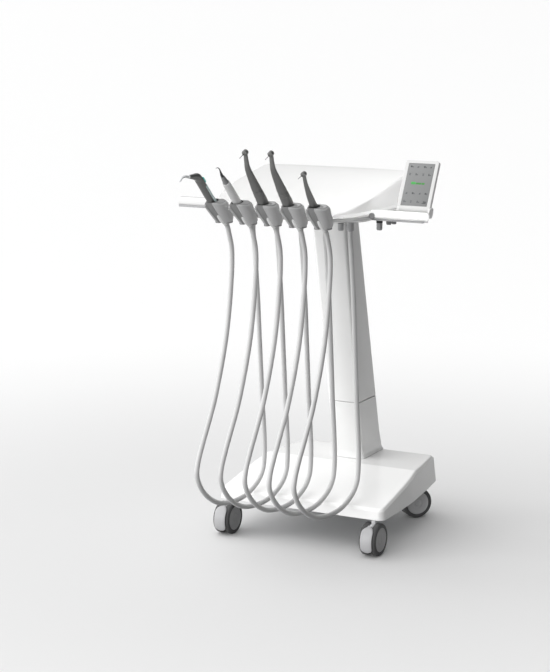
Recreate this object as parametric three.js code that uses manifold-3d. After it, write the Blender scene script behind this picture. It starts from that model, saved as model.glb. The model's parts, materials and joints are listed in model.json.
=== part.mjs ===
// A wheeled dental delivery unit, modelled at real size in millimetres with Z up.
// X runs to the right as the user sees it, Y runs to the back and Z runs up.
// The pieces are placed from the base's front face (Y = 0), its middle (X = 0) and the floor (Z = 0).
// The last lines move the whole unit so that its origin is the bottom centre of its box.
import * as THREE from "three";
import { mergeVertices } from "three/addons/utils/BufferGeometryUtils.js";
import Module from "manifold-3d";

const wasm = await Module();
wasm.setup();

// Clearances
const GAP = 0.3; // between two pieces that touch
const RUN = 0.5; // between a turning piece and its neighbour

// Base
const BASE_FRONT_WIDTH = 428;
const BASE_MID_WIDTH = 420;
const BASE_REAR_WIDTH = 364;
const BASE_MID_Y = 172; // where the sides start to draw in
const BASE_DEPTH = 393;
const BASE_UNDERSIDE_Z = 81;
const BASE_FRONT_TOP_Z = 106;
const BASE_REAR_TOP_Z = 148;
const BASE_CREASE_Y = 218; // the sloping front of the top meets the flat rear here
const BASE_FLARE = 4; // how far the walls lean in from bottom to top
const BASE_REAR_LEAN = 14;
const BASE_CORNER = 16;
const BASE_EDGE = 6;
const BASE_WALL = 4;
const BASE_PLATE = 6;

// Casters
const WHEEL_RADIUS = 37.5;
const WHEEL_WIDTH = 15;
const WHEEL_SIDES = 18; // the wheel's flats lie on its true radius, one of them on the floor
const WHEEL_GAP = 11; // between the two wheels of a caster, filled by the hood
const DISC_RADIUS = 26; // of the sunk disc on a wheel's outer face
const DISC_DEPTH = 1.2;
const CASTER_TRAIL = 24;
const HOOD_RADIUS = 35.5;
const BOSS_RADIUS = 12; // the round boss between the hood and the base
const CASTER_STEM_RADIUS = 9;
const CASTER_AXLE_RADIUS = 4;
const FRONT_CASTER_X = 189.5;
const FRONT_CASTER_Y = 24;
const REAR_CASTER_X = 162;
const REAR_CASTER_Y = 352;
const REAR_RIGHT_TURN = 43;
const REAR_LEFT_TURN = 30;
const PEDAL_WIDTH = 28;
const PEDAL_THICKNESS = 3.5;
const PEDAL_TOP = 130; // the angles, from the rear over the top, between which the tread curves
const PEDAL_FOOT = 215;
const PEDAL_CORNER = 11;
const PEDAL_CLEARANCE = 1.5; // from the wheels' tread

// Column
const COLUMN_FOOT_WIDTH = 80;
const COLUMN_FOOT_DEPTH = 114;
const COLUMN_FOOT_FRONT_Y = 259;
const COLUMN_TOP_WIDTH = 86;
const COLUMN_TOP_DEPTH = 78;
const COLUMN_TOP_FRONT_Y = 139;
const COLUMN_SEAM_Z = 292;
const COLUMN_EDGE = 9;
const COLUMN_WALL = 4;
const FOOT_FLARE = 5;
const FOOT_FLARE_HEIGHT = 24;
const MAST_WIDTH = 50;
const MAST_DEPTH = 44;

// Table
const TABLE_FRONT_Y = -118;
const TABLE_REAR_Y = 193;
const TABLE_HALF = 189;
const TABLE_CORNER_SWEEP = 0.26; // how much narrower the front edge is than the rest
const TABLE_FRONT_TOP_Z = 784;
const TABLE_REAR_TOP_Z = 860;
const TABLE_RISE_POWER = 0.66; // below 1, the top climbs fastest at the front
const TABLE_CROWN = 7; // how far the middle of the top stands over its sides
const TABLE_SIDE_UNDERCUT = 12;
const TABLE_REAR_UNDERCUT = 26;
const TABLE_WALL = 3.5;
const TABLE_LIP = 3; // the cover's upright rim, below the side walls
const PAN_UNDERSIDE_Z = 764;
const PAN_TOP_Z = 778.5;
const PAN_FRONT_Y = TABLE_FRONT_Y + 3;
const PAN_SETBACK = 4; // of the pan's rim from the widest line of the cover
const PAN_EDGE = 6; // height of the pan's upright rim
const WING_REACH = 316; // of either wing from the middle
const SHELF_UNDERSIDE_Z = 768;
const SHELF_TOP_Z = 783;
const SHELF_DEPTH = 42;

// Handles and rail
const HANDLE_HEIGHT = 19;
const HANDLE_DEPTH = 23;
const HANDLE_Y = -8;
const HANDLE_Z = 785.5;
const RAIL_RADIUS = 10.5;
const RAIL_Y = -8;
const RAIL_Z = 781;
const RAIL_START_X = 186;
const CAP_RADIUS = 7;
const CAP_THICKNESS = 3;

// Display
const DISPLAY_WIDTH = 80;
const DISPLAY_HEIGHT = 112;
const DISPLAY_THICKNESS = 10;
const DISPLAY_TILT = 23;
const DISPLAY_CORNER = 5;
const DISPLAY_BEZEL = 7;
const SCREEN_DEPTH = 1.5;
const HINGE_Y = 21;
const HINGE_Z = 794;
const HINGE_CHEEK = 5.8; // thickness of the bracket's two end cheeks
const HINGE_CHEEK_RADIUS = 11;
const HINGE_KNUCKLE_RADIUS = 8;
const HINGE_PIN_RADIUS = 3;

// Instrument holders
const HOLDER_PITCH = 61.5;
const INSTRUMENT_TILTS = [46, 46, 42.5, 42.5, 41.5]; // degrees forward from upright
const HOLDER_COUNT = INSTRUMENT_TILTS.length;
const HOSE_EXIT_Y = -122;
const HOSE_EXIT_Z = 756;
const HOLDER_START = 6; // along the instrument, from where its hose leaves
const HOLDER_LENGTH = 56;
const HOLDER_HEIGHT = 52.5; // of the top's middle above the point where the hose leaves
const HOLDER_TOP_SLOPE = 0.2; // the top rises towards the back
const HOLDER_TOP_START = 28; // height from which the rings take on that slope
const HOLDER_LEFT_DROP = 6; // the left cheek is lower in front, so that a tool can be drawn out sideways
const HOLDER_HALF = 23; // half the width across the cheeks
const HOLDER_FRONT = 20.5; // level distances from the seat's middle
const HOLDER_BACK = 17.5;
const HOLDER_FOOT_HALF = 14;
const HOLDER_FOOT_FRONT = 14;
const HOLDER_FOOT_BACK = 6.5;
const HOLDER_CORNER = 14; // the round between the front and a cheek
const HOLDER_SLOT = 0.42; // width of the open front as a share of the seat's width
const HOLDER_FLARE = 2; // how much wider the seat is above the instrument's tail
const FACET_ALLOWANCE = 1.02; // keeps a seat's flats clear of the round tail inside it
const LUG_WIDTH = 28; // the lug that fixes a holder to the pan's front edge
const LUG_DEPTH = 23;
const LUG_UNDERSIDE_Z = 757;
const LUG_CORNER = 3;
const TAIL_FOOT_RADIUS = 6.8; // the part of each instrument that sits in its holder
const TAIL_TOP_RADIUS = 10.8;

// Hoses
const HOSE_RADIUS = 5.6;
const HOSE_SIDES = 8;
const HOSE_STEPS = 42;
const SOCKET_RADIUS = 8.5;
const SOCKET_Y = 6;
const SOCKET_LOW_Z = 738;
const HOSE_REACH_STEP = 2; // each hose to the right reaches this much further forward
// Middle hose: how far back and how high it runs, from the instrument down, round and up to its socket
const HOSE_ROUTE = [
  [-106, 729],
  [-96, 700],
  [-94, 664],
  [-99, 615],
  [-107, 565],
  [-118, 515],
  [-134, 465],
  [-155, 413],
  [-182, 357],
  [-212, 309],
  [-238, 269],
  [-256, 236],
  [-262, 211],
  [-253, 188],
  [-230, 161],
  [-196, 137],
  [-158, 120],
  [-116, 111],
  [-72, 107],
  [-30, 109],
  [6, 118],
  [36, 133],
  [53, 153],
  [59, 178],
  [60, 215],
  [56, 262],
  [48, 330],
  [42, 400],
  [35, 480],
  [28, 560],
  [20, 630],
  [12, 690],
];

// Couplings and knobs under the table
const COUPLING_RADIUS = 6.5;
const COUPLING_LENGTH = 18;
const COUPLING_COLLAR_RADIUS = 8;
const COUPLING_COLLAR_LENGTH = 9;
const COUPLING_SPOTS = [
  [100, 5],
  [172, 52],
];
const KNOB_RADIUS = 5.5;
const KNOB_LENGTH = 10;
const KNOB_GROOVE = 0.8;
const KNOB_SPOTS = [
  [206, 26],
  [220, 26],
];

const finishes = {
  white: { color: 0xf1f1ef, roughness: 0.25, metalness: 0 },
  holder: { color: 0xa9abac, roughness: 0.45, metalness: 0 },
  hose: { color: 0xc9caca, roughness: 0.5, metalness: 0 },
  darkMetal: { color: 0x5b5b5a, roughness: 0.35, metalness: 0.8 },
  paleGrey: { color: 0xd4d6d7, roughness: 0.35, metalness: 0 },
  grey: { color: 0x8d8f90, roughness: 0.45, metalness: 0 },
  steel: { color: 0xb7b9bb, roughness: 0.3, metalness: 1 },
  tyre: { color: 0x4b4c4d, roughness: 0.6, metalness: 0 },
  black: { color: 0x1b1b1c, roughness: 0.5, metalness: 0 },
  teal: { color: 0x35c9b6, roughness: 0.4, metalness: 0 },
  screen: { color: 0x9a9c9d, roughness: 0.15, metalness: 0 },
  clear: { color: 0xe6ebec, roughness: 0.2, metalness: 0 },
};

const unit = new THREE.Group();
const soft = []; // the hoses, which the unit's box leaves out
const radians = THREE.MathUtils.degToRad;

function piece(name, geometry, finish, parent = unit) {
  const mesh = new THREE.Mesh(geometry, new THREE.MeshStandardMaterial(finishes[finish]));
  mesh.name = name;
  parent.add(mesh);
  return mesh;
}

function group(parent, x, y, z, turn = [0, 0, 0]) {
  const made = new THREE.Group();
  made.position.set(x, y, z);
  made.rotation.set(...turn.map(radians));
  parent.add(made);
  return made;
}

// Solids: joining and cutting
function solid(geometry) {
  const bare = geometry.clone();
  bare.deleteAttribute("normal");
  bare.deleteAttribute("uv");
  const merged = mergeVertices(bare, 1e-4);
  return new wasm.Manifold(
    new wasm.Mesh({
      numProp: 3,
      vertProperties: new Float32Array(merged.attributes.position.array),
      triVerts: new Uint32Array(merged.index.array),
    }),
  );
}

function geometryOf(made) {
  const mesh = made.getMesh();
  const geometry = new THREE.BufferGeometry();
  geometry.setAttribute("position", new THREE.BufferAttribute(mesh.vertProperties, 3));
  geometry.setIndex(new THREE.BufferAttribute(mesh.triVerts, 1));
  return geometry;
}

function join(first, ...others) {
  return geometryOf(others.reduce((sum, g) => sum.add(solid(g)), solid(first)));
}

function cut(first, ...others) {
  return geometryOf(others.reduce((rest, g) => rest.subtract(solid(g)), solid(first)));
}

function common(first, second) {
  return geometryOf(solid(first).intersect(solid(second)));
}

// A closed body through rings of points that all have the same count.
// The rings run anticlockwise seen from the last ring towards the first.
function loft(rings, cap = ladderCap) {
  const count = rings[0].length;
  const positions = rings.flat().flatMap((p) => [p.x, p.y, p.z]);
  const index = [];
  for (let r = 0; r + 1 < rings.length; r++) {
    for (let i = 0; i < count; i++) {
      const a = r * count + i;
      const b = r * count + ((i + 1) % count);
      index.push(a, b, b + count, a, b + count, a + count);
    }
  }
  const last = (rings.length - 1) * count;
  for (const [a, b, c] of cap(count)) {
    index.push(a, c, b);
    index.push(last + a, last + b, last + c);
  }
  const geometry = new THREE.BufferGeometry();
  geometry.setAttribute("position", new THREE.Float32BufferAttribute(positions, 3));
  geometry.setIndex(index);
  return geometry;
}

// An end cap for a ring whose point i mirrors point count - 1 - i: straight bands from side to side.
function ladderCap(count) {
  const faces = [];
  for (let i = 0; i + 1 < count / 2; i++) {
    const j = count - 1 - i;
    faces.push([i, i + 1, j - 1]);
    faces.push([i, j - 1, j]);
  }
  return faces;
}

// The right half of an outline, front to back, and its mirror image, as one ring.
function mirrored(half) {
  return [...half, ...half.map((p) => new THREE.Vector3(-p.x, p.y, p.z)).reverse()];
}

// A corner's arc from one direction to another, both in degrees, as [x, y] points.
function arc(x, y, radius, from, to, steps) {
  return Array.from({ length: steps + 1 }, (_, i) => {
    const turn = radians(from + ((to - from) * i) / steps);
    return [x + radius * Math.cos(turn), y + radius * Math.sin(turn)];
  });
}

// A rectangle with round corners, centred on the origin, as a three.js shape.
function roundedRect(width, height, radius, steps = 4) {
  const x = width / 2 - radius;
  const y = height / 2 - radius;
  const points = [
    ...arc(x, -y, radius, -90, 0, steps),
    ...arc(x, y, radius, 0, 90, steps),
    ...arc(-x, y, radius, 90, 180, steps),
    ...arc(-x, -y, radius, 180, 270, steps),
  ];
  return new THREE.Shape(points.map(([a, b]) => new THREE.Vector2(a, b)));
}

function box(width, depth, height, x, y, z) {
  return new THREE.BoxGeometry(width, depth, height).translate(x, y, z + height / 2);
}

// A plate from z = low to z = high over a flat outline.
function plate(shape, low, high) {
  const geometry = new THREE.ExtrudeGeometry(shape, { depth: high - low, bevelEnabled: false });
  return geometry.translate(0, 0, low);
}

// A turned piece about the local Y axis; the profile holds [radius, height] from bottom to top.
function turned(profile, sides = 24) {
  return new THREE.LatheGeometry(
    profile.map(([r, y]) => new THREE.Vector2(r, y)),
    sides,
  );
}

// A rod of changing radius along a curve in the local x = 0 plane: [y, z, radius] at each knot.
function taperedRod(knots, sides = 12, steps = knots.length * 2) {
  const path = new THREE.CatmullRomCurve3(
    knots.map(([y, z]) => new THREE.Vector3(0, y, z)),
    false,
    "centripetal",
  );
  const rings = [];
  for (let i = 0; i <= steps; i++) {
    const t = i / steps;
    const at = path.getPoint(t);
    const along = path.getTangent(t);
    const across = new THREE.Vector3(0, -along.z, along.y);
    const k = Math.min(Math.floor(t * (knots.length - 1)), knots.length - 2);
    const f = t * (knots.length - 1) - k;
    const radius = THREE.MathUtils.lerp(knots[k][2], knots[k + 1][2], f);
    rings.push(
      Array.from({ length: sides }, (_, s) => {
        const turn = ((s + 0.5) / sides) * 2 * Math.PI;
        return at
          .clone()
          .addScaledVector(across, radius * Math.cos(turn))
          .add(new THREE.Vector3(radius * Math.sin(turn), 0, 0));
      }),
    );
  }
  return loft(rings, ladderCap);
}

// Base: a wedge that is low in front, with a flat rear where the column stands
function baseTop(y) {
  const share = Math.min(Math.max(y / BASE_CREASE_Y, 0), 1);
  return BASE_FRONT_TOP_Z + (BASE_REAR_TOP_Z - BASE_FRONT_TOP_Z) * share;
}

function baseHalf(inset) {
  const front = BASE_FRONT_WIDTH / 2 - inset;
  const mid = BASE_MID_WIDTH / 2 - inset;
  const rear = BASE_REAR_WIDTH / 2 - inset;
  const back = BASE_DEPTH - inset;
  const corner = BASE_CORNER - Math.min(inset, BASE_CORNER / 2);
  return [
    [front / 2, inset],
    ...arc(front - corner, inset + corner, corner, -90, 0, 4),
    [mid + 1, BASE_MID_Y - 30],
    [mid - 2, BASE_MID_Y + 12],
    [THREE.MathUtils.lerp(mid, rear, 0.2), THREE.MathUtils.lerp(BASE_MID_Y, back, 0.2)],
    [THREE.MathUtils.lerp(mid, rear, 0.6), THREE.MathUtils.lerp(BASE_MID_Y, back, 0.6)],
    ...arc(rear - corner, back - corner, corner, 0, 90, 4),
    [rear / 2, back],
  ];
}

function baseRing(inset, lean, height) {
  return mirrored(
    baseHalf(inset).map(([x, y]) => {
      const back = (lean * Math.max(y - BASE_MID_Y, 0)) / (BASE_DEPTH - BASE_MID_Y);
      return new THREE.Vector3(x, y - back, height(y - back));
    }),
  );
}

function baseBody(wall) {
  const rings = [baseRing(wall, 0, () => BASE_UNDERSIDE_Z - (wall ? 1 : 0))];
  rings.push(baseRing(wall + BASE_FLARE * 0.7, BASE_REAR_LEAN * 0.7, (y) => baseTop(y) - BASE_EDGE - wall));
  for (const turn of wall ? [90] : [30, 60, 90]) {
    const inset = wall + BASE_FLARE + BASE_EDGE * (1 - Math.cos(radians(turn)));
    const drop = BASE_EDGE * (1 - Math.sin(radians(turn))) + wall;
    rings.push(baseRing(inset, BASE_REAR_LEAN, (y) => baseTop(y) - drop));
  }
  return loft(rings);
}

function casterSpots() {
  return [
    { name: "front_left", x: -FRONT_CASTER_X, y: FRONT_CASTER_Y, turn: 0, brake: true },
    { name: "front_right", x: FRONT_CASTER_X, y: FRONT_CASTER_Y, turn: 0, brake: true },
    { name: "rear_left", x: -REAR_CASTER_X, y: REAR_CASTER_Y, turn: -REAR_LEFT_TURN, brake: false },
    { name: "rear_right", x: REAR_CASTER_X, y: REAR_CASTER_Y, turn: -REAR_RIGHT_TURN, brake: false },
  ];
}

function upright(radius, low, high, x = 0, y = 0, sides = 12) {
  const made = new THREE.CylinderGeometry(radius, radius, high - low, sides);
  return made.rotateX(Math.PI / 2).translate(x, y, (low + high) / 2);
}

function crossways(radius, from, to, y, z, sides = 24) {
  const made = new THREE.CylinderGeometry(radius, radius, to - from, sides);
  return made.rotateZ(Math.PI / 2).translate((from + to) / 2, y, z);
}

{
  // The steel plate that closes the base, carries the casters and the mast, and keeps the unit steady
  const inset = BASE_WALL + BASE_FLARE / 2 + GAP;
  const outline = mirrored(baseHalf(inset).map(([x, y]) => new THREE.Vector3(x, y, 0)));
  const shape = new THREE.Shape(outline.map((p) => new THREE.Vector2(p.x, p.y)));
  const bores = casterSpots().map(({ x, y }) =>
    upright(CASTER_STEM_RADIUS + RUN, BASE_UNDERSIDE_Z - 1, BASE_UNDERSIDE_Z + BASE_PLATE + 1, x, y),
  );
  const low = BASE_UNDERSIDE_Z;
  piece("base_plate", cut(plate(shape, low, low + BASE_PLATE), ...bores), "steel");
}

// Casters: a hooded body between two wheels, on a stem that turns in the base plate
function wheel() {
  const w = WHEEL_WIDTH / 2;
  const half = Math.PI / WHEEL_SIDES;
  const r = WHEEL_RADIUS / Math.cos(half);
  const bore = CASTER_AXLE_RADIUS + RUN;
  return turned(
    [
      [bore, -w + 2],
      [r - 12, -w + 2],
      [r - 9, -w],
      [r - 4, -w],
      [r, -w + 4],
      [r, w - 5],
      [r - 4, w],
      [DISC_RADIUS + 1.5, w],
      [DISC_RADIUS, w - DISC_DEPTH],
      [bore, w - DISC_DEPTH],
      [bore, -w + 2],
    ],
    WHEEL_SIDES,
  )
    .rotateZ(Math.PI / 2)
    .rotateX(half);
}

// A solid over a shape drawn in Y and Z, running along X.
function sideways(shape, from, to, curveSegments = 12) {
  const made = new THREE.ExtrudeGeometry(shape, { depth: to - from, bevelEnabled: false, curveSegments });
  return made.rotateX(Math.PI / 2).rotateZ(Math.PI / 2).translate(from, 0, 0);
}

// Part of a ring about the X axis, between two angles from +Y towards +Z.
function sector(inner, outer, fromAngle, toAngle, half) {
  const shape = new THREE.Shape();
  shape.absarc(0, 0, outer, radians(fromAngle), radians(toAngle), false);
  shape.absarc(0, 0, inner, radians(toAngle), radians(fromAngle), true);
  return sideways(shape, -half, half, 6);
}

function casterBody() {
  const half = WHEEL_GAP / 2 - RUN;
  const hood = new THREE.Shape();
  hood.absarc(0, 0, HOOD_RADIUS, radians(-40), radians(220), false);
  const ceiling = BASE_UNDERSIDE_Z - WHEEL_RADIUS;
  const bossLow = Math.sqrt(WHEEL_RADIUS ** 2 - (CASTER_TRAIL - BOSS_RADIUS) ** 2) + 2 * RUN;
  const web = box(2 * half, CASTER_TRAIL, ceiling - GAP - 8, 0, CASTER_TRAIL / 2, 8);
  const boss = upright(BOSS_RADIUS, bossLow, ceiling - GAP, 0, CASTER_TRAIL);
  const stem = upright(CASTER_STEM_RADIUS, bossLow, ceiling + BASE_PLATE, 0, CASTER_TRAIL);
  const reach = WHEEL_GAP / 2 + WHEEL_WIDTH;
  const axle = crossways(CASTER_AXLE_RADIUS, -reach + 4, reach - 4, 0, 0, 8);
  return join(sideways(hood, -half, half, 14), web, boss, stem, axle);
}

// A brake tread that curves round the front of the wheels and turns about the axle
function brakePedal() {
  const inner = WHEEL_RADIUS + PEDAL_CLEARANCE;
  const outer = inner + PEDAL_THICKNESS;
  const tread = sector(inner, outer, PEDAL_TOP, PEDAL_FOOT, PEDAL_WIDTH / 2);
  const high = outer * Math.sin(radians(PEDAL_TOP));
  const low = outer * Math.sin(radians(PEDAL_FOOT));
  const front = plate(roundedRect(PEDAL_WIDTH, high - low, PEDAL_CORNER), 0, 2 * outer);
  front.rotateX(Math.PI / 2).translate(0, 0, (high + low) / 2);
  const arm = sector(HOOD_RADIUS + RUN, inner + 1, PEDAL_TOP - 12, PEDAL_TOP + 20, WHEEL_GAP / 2 - 2 * RUN);
  return join(common(tread, front), arm);
}

for (const spot of casterSpots()) {
  const swivel = group(unit, spot.x, spot.y, WHEEL_RADIUS, [0, 0, spot.turn]);
  const caster = group(swivel, 0, -CASTER_TRAIL, 0);
  piece(`caster_body_${spot.name}`, casterBody(), "paleGrey", caster);
  const offset = (WHEEL_GAP + WHEEL_WIDTH) / 2;
  for (const side of [-1, 1]) {
    const at = group(caster, side * offset, 0, 0, [0, 0, side > 0 ? 180 : 0]);
    piece(`wheel_${spot.name}_${side < 0 ? "left" : "right"}`, wheel(), "tyre", at);
  }
  if (spot.brake) piece(`brake_pedal_${spot.name}`, brakePedal(), "paleGrey", caster);
}

// Column: a slim mast inside two covers that lean forward as they rise
function columnRing(z, inset) {
  const t = (z - BASE_REAR_TOP_Z) / (PAN_UNDERSIDE_Z - BASE_REAR_TOP_Z);
  const flare = Math.max(1 - (z - BASE_REAR_TOP_Z) / FOOT_FLARE_HEIGHT, 0) ** 2 * FOOT_FLARE;
  const half = THREE.MathUtils.lerp(COLUMN_FOOT_WIDTH, COLUMN_TOP_WIDTH, t) / 2 - inset + flare;
  const front = THREE.MathUtils.lerp(COLUMN_FOOT_FRONT_Y, COLUMN_TOP_FRONT_Y, t) + inset - flare;
  const depth = THREE.MathUtils.lerp(COLUMN_FOOT_DEPTH, COLUMN_TOP_DEPTH, t) - 2 * inset + 2 * flare;
  const corner = Math.max(COLUMN_EDGE - inset, 2);
  const bow = 2.5;
  const outline = [
    [half / 3, front - bow],
    ...arc(half - corner, front + corner, corner, -90, 0, 3),
    ...arc(half - corner, front + depth - corner, corner, 0, 90, 3),
    [half / 3, front + depth],
  ];
  return mirrored(outline.map(([x, y]) => new THREE.Vector3(x, y, z)));
}

function columnBody(low, high, inset, overrun) {
  const flareLevels = [0.5, 1].map((share) => BASE_REAR_TOP_Z + share * FOOT_FLARE_HEIGHT);
  const levels = [low - overrun, ...flareLevels.filter((z) => z > low), high + overrun];
  return loft(levels.map((z) => columnRing(z, inset)));
}

const columnLow = BASE_REAR_TOP_Z + GAP;
const columnHigh = PAN_UNDERSIDE_Z - GAP;
piece(
  "column_lower_cover",
  cut(columnBody(columnLow, COLUMN_SEAM_Z - GAP, 0, 0), columnBody(columnLow, COLUMN_SEAM_Z - GAP, COLUMN_WALL, 1)),
  "white",
);
piece(
  "column_upper_cover",
  cut(columnBody(COLUMN_SEAM_Z, columnHigh, 0, 0), columnBody(COLUMN_SEAM_Z, columnHigh, COLUMN_WALL, 1)),
  "white",
);

function mastRing(z, inset) {
  const t = (z - BASE_REAR_TOP_Z) / (PAN_UNDERSIDE_Z - BASE_REAR_TOP_Z);
  const footMiddle = COLUMN_FOOT_FRONT_Y + COLUMN_FOOT_DEPTH / 2;
  const topMiddle = COLUMN_TOP_FRONT_Y + COLUMN_TOP_DEPTH / 2;
  const middle = THREE.MathUtils.lerp(footMiddle, topMiddle, t);
  const x = MAST_WIDTH / 2 - inset;
  const y = MAST_DEPTH / 2 - inset;
  return mirrored([new THREE.Vector3(x, middle - y, z), new THREE.Vector3(x, middle + y, z)]);
}

function mastBody(low, high, inset) {
  return loft([mastRing(low, inset), mastRing(high, inset)]);
}

const mastLow = BASE_UNDERSIDE_Z + BASE_PLATE + GAP;
piece("mast", cut(mastBody(mastLow, columnHigh, 0), mastBody(mastLow - 1, columnHigh + 1, 3)), "steel");
piece(
  "base_cover",
  cut(baseBody(0), baseBody(BASE_WALL), mastBody(BASE_UNDERSIDE_Z, BASE_REAR_TOP_Z + 20, -GAP)),
  "white",
);

// Table: a crowned wedge over a shallow pan that swells into the wings
// Half the width at a depth: swept front corners that run into nearly parallel sides
function tableHalfWidth(y) {
  const share = THREE.MathUtils.clamp((y - TABLE_FRONT_Y) / (TABLE_REAR_Y - TABLE_FRONT_Y), 0, 1);
  return TABLE_HALF * (1 - TABLE_CORNER_SWEEP * (1 - share) ** 6);
}

function tableTop(x, y) {
  const share = THREE.MathUtils.clamp((y - TABLE_FRONT_Y) / (TABLE_REAR_Y - TABLE_FRONT_Y), 0, 1);
  const across = Math.min(Math.abs(x) / tableHalfWidth(y), 1);
  const crown = TABLE_CROWN * Math.sqrt(4 * share * (1 - share)) * (1 - across ** 2.5);
  return THREE.MathUtils.lerp(TABLE_FRONT_TOP_Z, TABLE_REAR_TOP_Z, share ** TABLE_RISE_POWER) + crown;
}

function tableHalf(inset) {
  const front = TABLE_FRONT_Y + inset;
  const rear = TABLE_REAR_Y - inset;
  const corner = 14;
  const frontHalf = tableHalfWidth(front) - inset;
  const rearHalf = tableHalfWidth(rear) - inset;
  const sides = [0.09, 0.17, 0.27, 0.42, 0.6, 0.8].map((share) => {
    const y = THREE.MathUtils.lerp(front, rear, share);
    return [tableHalfWidth(y) - inset, y];
  });
  return [
    [frontHalf * 0.3, front],
    [frontHalf * 0.65, front],
    ...arc(frontHalf - corner, front + corner, corner, -90, -30, 3),
    ...sides,
    ...arc(rearHalf - corner, rear - corner, corner, 0, 90, 3),
    [rearHalf * 0.65, rear],
    [rearHalf * 0.3, rear],
  ];
}

// The cover's wall leans in below its top edge, least at the front, and its rear face slopes forward
function tableRing(inset, undercut, height) {
  const outer = tableHalf(inset);
  const inner = tableHalf(inset + undercut * TABLE_SIDE_UNDERCUT);
  return mirrored(
    outer.map(([x, y], i) => {
      const share = THREE.MathUtils.clamp((y - TABLE_FRONT_Y - 10) / 80, 0, 1);
      const back = (undercut * TABLE_REAR_UNDERCUT * Math.max(y, 0)) / TABLE_REAR_Y;
      const px = THREE.MathUtils.lerp(x, inner[i][0], share);
      return new THREE.Vector3(px, y - back, height(px, y - back));
    }),
  );
}

function tableBody(wall) {
  const low = PAN_TOP_Z + GAP;
  const lip = low + TABLE_LIP;
  const rise = (x, y) => tableTop(x, y) - lip;
  const rings = [
    tableRing(wall + 2, 1, () => low - (wall ? 1 : 0)),
    tableRing(wall + 1.5, 1, () => lip - wall / 3),
    tableRing(wall + 1, 1.2, (x, y) => lip + Math.min(5, 0.25 * rise(x, y)) - wall / 3),
    tableRing(wall, 0, (x, y) => lip + Math.max(rise(x, y) - 5, 0.55 * rise(x, y)) - wall),
    tableRing(wall + 1, 0, (x, y) => tableTop(x, y) - Math.min(1.5, 0.2 * rise(x, y)) - wall),
    tableRing(wall + 4, 0, (x, y) => tableTop(x, y) - wall),
  ];
  const edge = rings[rings.length - 1];
  const middle = (TABLE_FRONT_Y + TABLE_REAR_Y) / 2;
  for (const share of wall ? [0.75, 0.4] : [0.88, 0.7, 0.45, 0.2]) {
    rings.push(
      edge.map((p) => {
        const x = p.x * share;
        const y = middle + (p.y - middle) * share;
        return new THREE.Vector3(x, y, tableTop(x, y) - wall);
      }),
    );
  }
  return loft(rings);
}

piece("table_cover", cut(tableBody(0), tableBody(TABLE_WALL)), "white");

// The pan is a shallow dish: its flat underside rises to a thin rim at the front and the sides
function panHalf(y, inset) {
  return tableHalfWidth(y) - PAN_SETBACK - inset;
}

function panRing(z, inset, frontInset) {
  const front = PAN_FRONT_Y + frontInset;
  const rear = TABLE_REAR_Y - TABLE_REAR_UNDERCUT - PAN_SETBACK - inset;
  const half = (y) => panHalf(y, inset);
  const corner = 14;
  const sides = [0.12, 0.3, 0.6].map((share) => THREE.MathUtils.lerp(front + corner, rear, share));
  const frontHalf = half(PAN_FRONT_Y + frontInset / 3);
  return mirrored(
    [
      [frontHalf * 0.5, front],
      ...arc(frontHalf - corner, front + corner, corner, -90, -30, 3),
      ...sides.map((y) => [Math.min(half(y), frontHalf + 60 * (y - front) / 70), y]),
      ...arc(half(rear) - 14, rear - 14, 14, 0, 90, 3),
      [half(rear) * 0.5, rear],
    ].map(([x, y]) => new THREE.Vector3(x, y, z)),
  );
}

const panBody = loft([
  panRing(PAN_UNDERSIDE_Z, 14, 70),
  panRing(PAN_UNDERSIDE_Z + 3, 6, 30),
  panRing(PAN_TOP_Z - PAN_EDGE, 0, 0),
  panRing(PAN_TOP_Z, 0, 0),
]);
const shelfFront = RAIL_Y + RAIL_RADIUS + GAP;

function shelfPlate(from, low, high) {
  const outline = [
    [from, shelfFront],
    [WING_REACH - 8, shelfFront],
    [WING_REACH, shelfFront + 8],
    [WING_REACH, shelfFront + SHELF_DEPTH - 14],
    [WING_REACH - 14, shelfFront + SHELF_DEPTH],
    [from, shelfFront + SHELF_DEPTH],
  ];
  return plate(new THREE.Shape(outline.map(([x, y]) => new THREE.Vector2(x, y))), low, high);
}

const shelfRoot = tableHalfWidth(shelfFront + SHELF_DEPTH) + GAP;
piece(
  "table_pan",
  join(panBody, shelfPlate(140, SHELF_UNDERSIDE_Z, PAN_TOP_Z), shelfPlate(shelfRoot, SHELF_UNDERSIDE_Z, SHELF_TOP_Z)),
  "white",
);

// Wings: a plain handle on the left, a round rail with the display on the right
const handleShape = roundedRect(HANDLE_DEPTH, HANDLE_HEIGHT, 7);
const handleRoot = TABLE_HALF - 2 * TABLE_SIDE_UNDERCUT;
const rimReach = panHalf(HANDLE_Y + HANDLE_DEPTH / 2, 0) + GAP;
piece(
  "left_handle",
  cut(
    sideways(handleShape, -WING_REACH, -handleRoot).translate(0, HANDLE_Y, HANDLE_Z),
    tableBody(-GAP),
    box(rimReach, 2 * HANDLE_DEPTH, HANDLE_HEIGHT, -rimReach / 2, HANDLE_Y, PAN_TOP_Z + GAP - HANDLE_HEIGHT),
  ),
  "white",
);

piece(
  "right_rail",
  turned(
    [
      [0, 0],
      [RAIL_RADIUS - 2, 0],
      [RAIL_RADIUS, 2],
      [RAIL_RADIUS, WING_REACH - RAIL_START_X - 6],
      [RAIL_RADIUS - 1.5, WING_REACH - RAIL_START_X - 2],
      [RAIL_RADIUS - 5, WING_REACH - RAIL_START_X],
      [0, WING_REACH - RAIL_START_X],
    ],
    20,
  )
    .rotateZ(-Math.PI / 2)
    .translate(RAIL_START_X, RAIL_Y, RAIL_Z),
  "white",
);

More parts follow.
